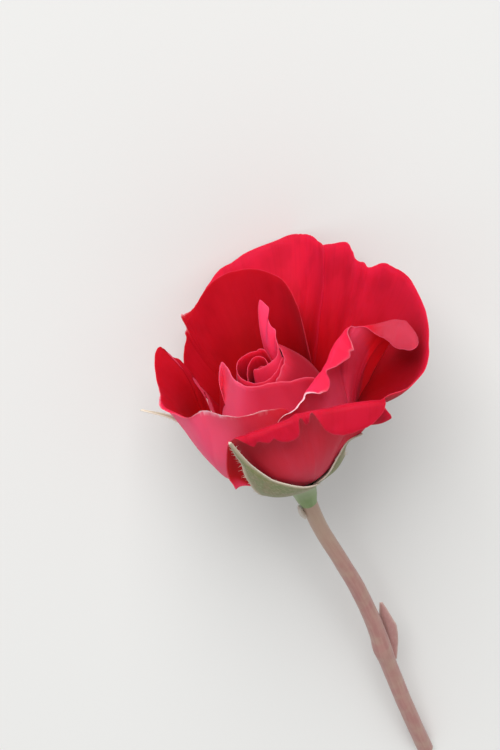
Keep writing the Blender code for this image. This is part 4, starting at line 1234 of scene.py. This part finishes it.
def add_leaf(name: str, node: str, grid: Grid, skins: Skins, sizes: tuple[float, float, float],
             hairs: tuple[tuple[Vector, Vector, float], ...] = ()) -> None:
    """Adds a leaf as a piece.

    Args:
        name: The piece's name.
        node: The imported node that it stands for.
        grid: Its columns of points.
        skins: Its back, its face and its margin.
        sizes: Half of its thickness, the same at the margin, and the width that thins towards it.
        hairs: Its hairs, as for Sheet.mesh().
    """
    chart, ahead, aside = measure(grid)
    edge = [[min(pair) for pair in zip(*rows)] for rows in zip(ahead, aside)]
    add_piece(name, Sheet(grid, {"edge": edge}, chart, *sizes).mesh(name, hairs), node, skins)


@dataclass
class Calyx:
    """The five sepals, boat-shaped and woolly at the margin.

    Attributes:
        sepals: The sepals.
        half_widths: The widest sepal's half width at steps from claw to tip.
        keel_rise: How far the keel stands out from the margins.
        thickness: Its sizes for add_leaf().
        columns: Faces across a sepal.
        rows: Faces along it.
        hairs: Hairs on each margin.
        hair_length: Shortest and longest hair.
        hair_radius: Thinnest and thickest hair.
    """

    sepals: tuple[Sepal, ...] = SEPALS
    half_widths: tuple[float, ...] = (3.3, 5.0, 4.8, 3.2, 1.3, 0.7, 0.25)
    keel_rise: float = 0.5
    thickness: tuple[float, float, float] = (0.35, 0.16, 1.6)
    columns: int = 16
    rows: int = 60
    hairs: int = 34
    hair_length: tuple[float, float] = (0.5, 1.4)
    hair_radius: tuple[float, float] = (0.05, 0.08)

    def grid(self, sepal: Sepal, seed: float) -> Grid:
        """Draws the sepal's columns of points.

        Args:
            sepal: The sepal.
            seed: Picks its own waves.

        Returns:
            The points, from margin to margin and claw to tip.
        """
        grid, last = [], len(sepal.keel) - 1
        for i in range(self.columns + 1):
            side = 2 * i / self.columns - 1
            column = []
            for j in range(self.rows + 1):
                along = j / self.rows
                radius, height = spline(sepal.keel, along * last)
                width = glide(self.half_widths, along)
                width *= 1 + 0.08 * waver(along * 9, side, seed)
                width *= 1 + sepal.wrap * max(side, 0.0) * math.sin(math.pi * min(2 * along, 1.0))
                swell = min(1, 4 * along)
                radius += self.keel_rise * (1 - abs(side) ** 1.5) * swell
                radius += 0.35 * swell * ease(abs(side), 0.72, 1.0) * min(width / 2.5, 1)
                radius += 0.12 * swell * waver(along * 7, side * 1.5, seed + 2)
                angle = math.radians(sepal.azimuth + sepal.twist * (1 - (1 - along) ** 2))
                angle += side * width * sepal.breadth / radius
                column.append(polar(radius, angle, height))
            grid.append(column)
        return grid

    def hair(self, grid: Grid, draw: random.Random) -> tuple[tuple[Vector, Vector, float], ...]:
        """Grows hairs out of both margins and the tip.

        Args:
            grid: The sepal's points.
            draw: The source of random numbers.

        Returns:
            The foot, tip and radius of each hair.
        """
        ways, hairs = normals(grid), []
        for column, other in ((0, 2), (self.columns, self.columns - 2)):
            for k in range(self.hairs):
                j = round((0.12 + 0.86 * (k + draw.uniform(-0.4, 0.4)) / self.hairs) * self.rows)
                j = min(max(j, 2), self.rows)
                foot = grid[column][j]
                out = (foot - grid[other][j]).normalized()
                ahead = (foot - grid[column][j - 1]).normalized()
                way = out * draw.uniform(0.5, 1.0) + ahead * draw.uniform(-0.2, 0.9)
                way += ways[column][j] * draw.uniform(-0.1, 0.8)
                tip = foot + way.normalized() * draw.uniform(*self.hair_length)
                hairs.append((foot, tip, draw.uniform(*self.hair_radius)))
        return tuple(hairs)

    def build(self) -> None:
        """Builds every sepal with its back, its face and its woolly margin."""
        skins = [
            LeafSkin("sepal_back_down", "#727c46", "#8a7450", "#c8b8a0", 0.6, 1.1).build(),
            LeafSkin("sepal_face_down", "#9a9a78", "#8e7c64", "#cfc6b0", 0.4, 1.0).build(),
            LeafSkin("sepal_margin_wool", "#cfc3ae", "#c2b098", "#e2d9c8", 0.4, 0.8).build(),
        ]
        draw = random.Random(5)
        for number, sepal in enumerate(self.sepals):
            grid = self.grid(sepal, number + 40.0)
            name = sepal.name + "_downy"
            add_leaf(name, sepal.name, grid, skins, self.thickness, self.hair(grid, draw))


# Radius and height of the hip, from the middle of its top down.
HIP_PROFILE = (
    (0.0, 0.0), (5.9, 0.0), (6.2, -0.5), (5.7, -2.0), (4.3, -4.2), (3.4, -6.8), (2.9, -9.2),
    (2.3, -11.6), (0.0, -11.6),
)
# The stem's route below the hip, and its radius there as a share of the common one.
STEM_ROUTE = (
    (0.0, 0.0, -5.5, 0.98), (0.7, 0.1, -16, 0.94), (2.7, 0.5, -29, 0.96), (4.4, 1.1, -41, 1.0),
    (5.4, 1.7, -53, 1.02), (5.7, 2.2, -63, 1.08), (5.5, 2.6, -69, 1.2), (5.8, 3.0, -76, 1.04),
    (6.2, 3.7, -90, 1.02), (6.9, 4.7, -104, 1.02), (7.7, 6.0, -117.5, 1.03),
)


@dataclass(frozen=True)
class Blade:
    """A narrow cupped leaf on the stalk.

    Attributes:
        name: Its piece's name.
        node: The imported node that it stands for.
        label: The start of its finishes' names.
        flesh: The colours of its back, its face and its margin.
        tints: Its ruddy and its woolly colour.
        ruddy_share: How ruddy it is.
        route: Points along its middle.
        half_widths: Its half width at each.
        across: The direction across it.
        half: Half of its thickness.
        cup: How deep it is cupped, as a share of its half width.
        columns: Faces across it.
        steps: Faces from each point of the route to the next.
    """

    name: str
    node: str
    label: str
    flesh: tuple[str, str, str]
    tints: tuple[str, str]
    ruddy_share: float
    route: tuple[tuple[float, float, float], ...]
    half_widths: tuple[float, ...]
    across: tuple[float, float, float]
    half: float
    cup: float = 0.35
    columns: int = 12
    steps: int = 12

    def build(self) -> None:
        """Builds the leaf."""
        last, sideways, grid = len(self.route) - 1, Vector(self.across).normalized(), []
        for i in range(self.columns + 1):
            side = 2 * i / self.columns - 1
            column = []
            for j in range(last * self.steps + 1):
                t = j / self.steps
                before, after = max(t - 0.1, 0), min(t + 0.1, last)
                ahead = Vector(spline(self.route, after)) - Vector(spline(self.route, before))
                width = glide(self.half_widths, t / last) * (1 + 0.08 * waver(t * 2, side, 80.0))
                facing = ahead.normalized().cross(sideways)
                lift = self.cup * side * side - 0.08 * (1 - min(abs(side) * 4, 1))
                column.append(Vector(spline(self.route, t)) + sideways * side * width + facing * lift * width)
            grid.append(column)
        skins = [LeafSkin(f"{self.label}_{part}", code, *self.tints, self.ruddy_share, 0.5).build()
                 for part, code in zip(("back", "face", "margin"), self.flesh)]
        add_leaf(self.name, self.node, grid, skins, (self.half, self.half * 0.5, 0.8))


BLADES = (
    Blade("bract_leaf", "bract", "bract", ("#b88480", "#a88c78", "#c09088"), ("#c08c88", "#c8a49c"), 0.6,
          ((7.4, 4.6, -76.8), (8.1, 4.8, -71.5), (8.8, 4.5, -65.7), (9.0, 4.1, -59.9), (9.3, 3.8, -53.5)),
          (0.9, 1.8, 2.2, 1.6, 0.3), (0.93, -0.36, 0.0), 0.32),
    Blade("stem_scale_leaf", "stem_scale", "scale", ("#bcae9e", "#b4a498", "#ccc0b6"), ("#b8a498", "#d6ccc2"), 0.5,
          ((-1.9, -0.9, -9.4), (-2.3, -1.0, -8.2), (-2.6, -1.2, -6.9), (-2.7, -1.3, -5.9), (-2.6, -1.4, -5.0)),
          (0.5, 0.8, 1.0, 1.0, 0.6), (0.1, 1.0, 0.0), 0.55),
)


@dataclass
class Stalk:
    """The hip, the stem, the bract beside it and the scale below the hip.

    Attributes:
        hip_profile: Radius and height of the hip, from the middle of its top down.
        hip_top: Height of the hip's top.
        hip_sides: Faces round the hip.
        hip_steps: Faces from each point of the profile to the next.
        route: The stem's way with the share of its radius at each point.
        radius: The stem's radius.
        sides: Faces round the stem.
        steps: Faces from each point of the route to the next.
        sharp: Degrees between two faces from which their edge stays sharp.
        blades: The small leaves.
    """

    hip_profile: tuple[tuple[float, float], ...] = HIP_PROFILE
    hip_top: float = 6.0
    hip_sides: int = 60
    hip_steps: int = 5
    route: tuple[tuple[float, float, float, float], ...] = STEM_ROUTE
    radius: float = 2.2
    sides: int = 36
    steps: int = 16
    sharp: float = 50.0
    blades: tuple[Blade, ...] = BLADES

    def rings(self, name: str, node: str, loops: list[list[Vector]], glow: list[float], skins: Skins,
              cut: int) -> None:
        """Joins rings of points into one closed skin and adds it as a piece.

        Args:
            name: The piece's name.
            node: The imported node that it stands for.
            loops: The rings in order, each with the same number of points.
            glow: How waxy each ring is.
            skins: Its materials.
            cut: The number of the last end's material.
        """
        sides, last = len(loops[0]), len(loops) - 1
        points = [point for loop in loops for point in loop]
        along = [0.0]
        for first, second in zip(loops, loops[1:]):
            along.append(along[-1] + (second[0] - first[0]).length)
        places = [((r, k), (r, k + 1), (r + 1, k + 1), (r + 1, k)) for r in range(last) for k in range(sides)]
        slots = [0] * (len(places) + sides) + [cut] * sides
        for ring, way in ((0, 0), (last, 1)):
            points.append(sum(loops[ring], Vector()) / sides)
            places += [((ring, k + 1 - way), (ring, k + way), (last + 1, way)) for k in range(sides)]
        faces = [[ring * sides + turn % sides for ring, turn in face] for face in places]
        corners = [(turn / sides * 2 * math.pi * self.radius, along[ring]) if ring <= last else (0.0, 0.0)
                   for face in places for ring, turn in face]
        maps = {"glow": [value for value in glow for _ in range(sides)] + [0.0, 0.0]}
        mesh = join(name, points, faces, slots, maps, corners)
        mesh.set_sharp_from_angle(angle=math.radians(self.sharp))
        add_piece(name, mesh, node, skins)

    def build_hip(self, skins: Skins) -> None:
        """Turns the hip, with faint ribs that run up to the sepals.

        Args:
            skins: Its material.
        """
        loops = []
        for k in range((len(self.hip_profile) - 3) * self.hip_steps + 1):
            radius, height = spline(self.hip_profile[1:-1], k / self.hip_steps)
            loop = []
            for s in range(self.hip_sides):
                angle = 2 * math.pi * s / self.hip_sides
                swell = 0.10 * math.cos(5 * (angle - math.radians(22))) * ease(height, -7, -1)
                swell += 0.08 * waver(math.cos(angle) * 2, math.sin(angle) * 2 + height / 2, 60.0)
                loop.append(polar(radius + swell * min(radius / 3, 1), angle, self.hip_top + height))
            loops.append(loop)
        loops.reverse()
        glow = [0.55 * ease(loop[0].z, -6, 2) for loop in loops]
        self.rings("hip_waxy", "receptacle", loops, glow, skins, 0)

    def build_stem(self, skins: Skins) -> None:
        """Sweeps the stem along its way, with a swollen node and a slanted fresh cut.

        Args:
            skins: Its bark, its bark again and the cut's pith.
        """
        last = len(self.route) - 1
        loops, glow, side = [], [], Vector((1, 0, 0))
        for k in range(last * self.steps + 1):
            t = k / self.steps
            *place, share = spline(self.route, t)
            here = Vector(place)
            before, after = max(t - 0.05, 0), min(t + 0.05, last)
            ahead = Vector(spline(self.route, after)[:3]) - Vector(spline(self.route, before)[:3])
            ahead.normalize()
            side = (side - ahead * side.dot(ahead)).normalized()
            other = ahead.cross(side)
            loop = []
            for s in range(self.sides):
                x, y = math.cos(2 * math.pi * s / self.sides), math.sin(2 * math.pi * s / self.sides)
                bump = 1 + 0.035 * waver(x * 1.2 + 9, y * 1.2 + here.z / 7, 70.0)
                bump += 0.02 * waver(x * 3, y * 3 + here.z / 1.5, 71.0)
                loop.append(here + (side * x + other * y) * self.radius * share * bump)
            loops.append(loop)
            glow.append(0.65 * ease(here.z, -40, -9))
        self.rings("stem_skin", "stem", loops, glow, skins, 2)

    def build(self) -> None:
        """Builds the hip, the stem and both small leaves."""
        hip = BarkSkin("hip_waxy_green", "#789456", "#86a064", "#a4b288", 1.0, wax_share=0.4).build()
        stem = BarkSkin("stem_young_bark", "#ac7670", "#b4827a", "#b8a48c", 0.8, wax_share=0.35).build()
        pith = PollenSkin("stem_cut_pith", "#c9cfa0", "#a9b07c").build()
        self.build_hip([hip])
        self.build_stem([stem, stem, pith])
        for blade in self.blades:
            blade.build()


@dataclass
class Heart:
    """The stamens and styles deep in the bud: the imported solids, in their real tissue."""

    stamens: PollenSkin = PollenSkin("anther_pollen", "#d9a441", "#b9791f")
    styles: PollenSkin = PollenSkin("style_tissue", "#d8cf9a", "#b8a866")

    def build(self) -> None:
        """Gives both nodes their finishes."""
        for node, skin in (("stamens", self.stamens), ("styles", self.styles)):
            material = skin.build()
            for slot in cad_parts[node].material_slots:
                slot.material = material
            log.info("%s: finished in %s", node, material.name)


@dataclass
class Studio:
    """The pale floor, the soft lights and the camera.

    Attributes:
        floor_size: Length of the floor's side in metres.
        key_power: Watts of the key lamp.
        key_size: Length of its side in metres.
        key_distance: How far it stands from the flower in metres.
        key_way: Its direction, as shares of the view's right, up and backward directions.
        sky: Brightness of the even light from all round.
        view_mm: Height of the view at the flower in millimetres.
        distance_mm: How far the camera stands.
        look_down: Degrees from the flower's axis to the camera.
        roll: Degrees that the flower leans over in the view.
        hold: Where the flower's foot shows, as millimetres right of and above the view's middle.
    """

    floor_size: float = 4.0
    key_power: float = 170.0
    key_size: float = 2.5
    key_distance: float = 4.0
    key_way: tuple[float, float, float] = (-0.12, 0.42, 0.85)
    sky: float = 0.52
    view_mm: float = 193.5
    distance_mm: float = 700.0
    look_down: float = 50.0
    roll: float = 20.0
    hold: tuple[float, float] = (13.674, -28.896)

    def axes(self) -> tuple[Vector, Vector, Vector]:
        """The view's right, up and backward directions in the flower's frame."""
        tip, lean = math.radians(self.look_down), math.radians(self.roll)
        level, rise = Vector((1, 0, 0)), Vector((0, math.cos(tip), math.sin(tip)))
        back = Vector((0, -math.sin(tip), math.cos(tip)))
        right = level * math.cos(lean) - rise * math.sin(lean)
        return right, level * math.sin(lean) + rise * math.cos(lean), back

    def build_camera(self) -> None:
        """Sets up the camera."""
        right, up, back = self.axes()
        place = -(right * self.hold[0] + up * self.hold[1]) + back * self.distance_mm
        data = bpy.data.cameras.new("camera")
        data.sensor_width = 36
        data.lens = data.sensor_width * self.distance_mm / self.view_mm
        data.clip_start = 0.01
        camera = bpy.data.objects.new("camera", data)
        rows = [(right[k], up[k], back[k], place[k] * MM) for k in range(3)]
        camera.matrix_world = Bed.LAY @ Matrix((*rows, (0, 0, 0, 1)))
        bpy.context.scene.collection.objects.link(camera)
        bpy.context.scene.camera = camera

    def build_light(self) -> None:
        """Sets up one large soft lamp above the flower and an even pale sky."""
        right, up, back = self.axes()
        way = back * self.key_way[2] + up * self.key_way[1] + right * self.key_way[0]
        way = (Bed.LAY.to_3x3() @ way).normalized()
        data = bpy.data.lights.new("key", "AREA")
        data.energy = self.key_power
        data.size = self.key_size
        lamp = bpy.data.objects.new("key", data)
        lamp.location = way * self.key_distance
        lamp.rotation_euler = way.to_track_quat("Z", "Y").to_euler()
        lamp.visible_camera = False
        bpy.context.scene.collection.objects.link(lamp)
        world = bpy.data.worlds.new("sky")
        world.use_nodes = True
        world.node_tree.nodes["Background"].inputs["Color"].default_value = (self.sky, self.sky, self.sky, 1)
        bpy.context.scene.world = world

    def build_floor(self) -> None:
        """Lays a plain sheet of pale paper under the flower."""
        half = self.floor_size / 2
        mesh = bpy.data.meshes.new("floor")
        corners = [(-half, -half, 0), (half, -half, 0), (half, half, 0), (-half, half, 0)]
        mesh.from_pydata(corners, [], [(0, 1, 2, 3)])
        floor = bpy.data.objects.new("floor", mesh)
        mesh.materials.append(PaperFloor().build())
        bpy.context.scene.collection.objects.link(floor)

    def build(self) -> None:
        """Builds the floor, the light and the camera."""
        self.build_floor()
        self.build_light()
        self.build_camera()
        bpy.context.scene.view_settings.view_transform = "Standard"


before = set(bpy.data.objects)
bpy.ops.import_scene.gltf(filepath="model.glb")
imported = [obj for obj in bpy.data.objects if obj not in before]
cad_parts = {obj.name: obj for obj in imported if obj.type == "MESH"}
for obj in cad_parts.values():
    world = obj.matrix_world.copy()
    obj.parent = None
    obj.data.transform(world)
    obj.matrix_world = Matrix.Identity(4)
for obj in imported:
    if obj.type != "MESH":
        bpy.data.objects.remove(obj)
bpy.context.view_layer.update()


def main() -> None:
    """Builds the rose and its studio."""
    logging.basicConfig(level=logging.INFO, format="%(message)s")
    for assembly in (Corolla(), Calyx(), Stalk(), Heart(), Studio()):
        assembly.build()
    bpy.context.view_layer.update()


if __name__ == "__main__":
    main()
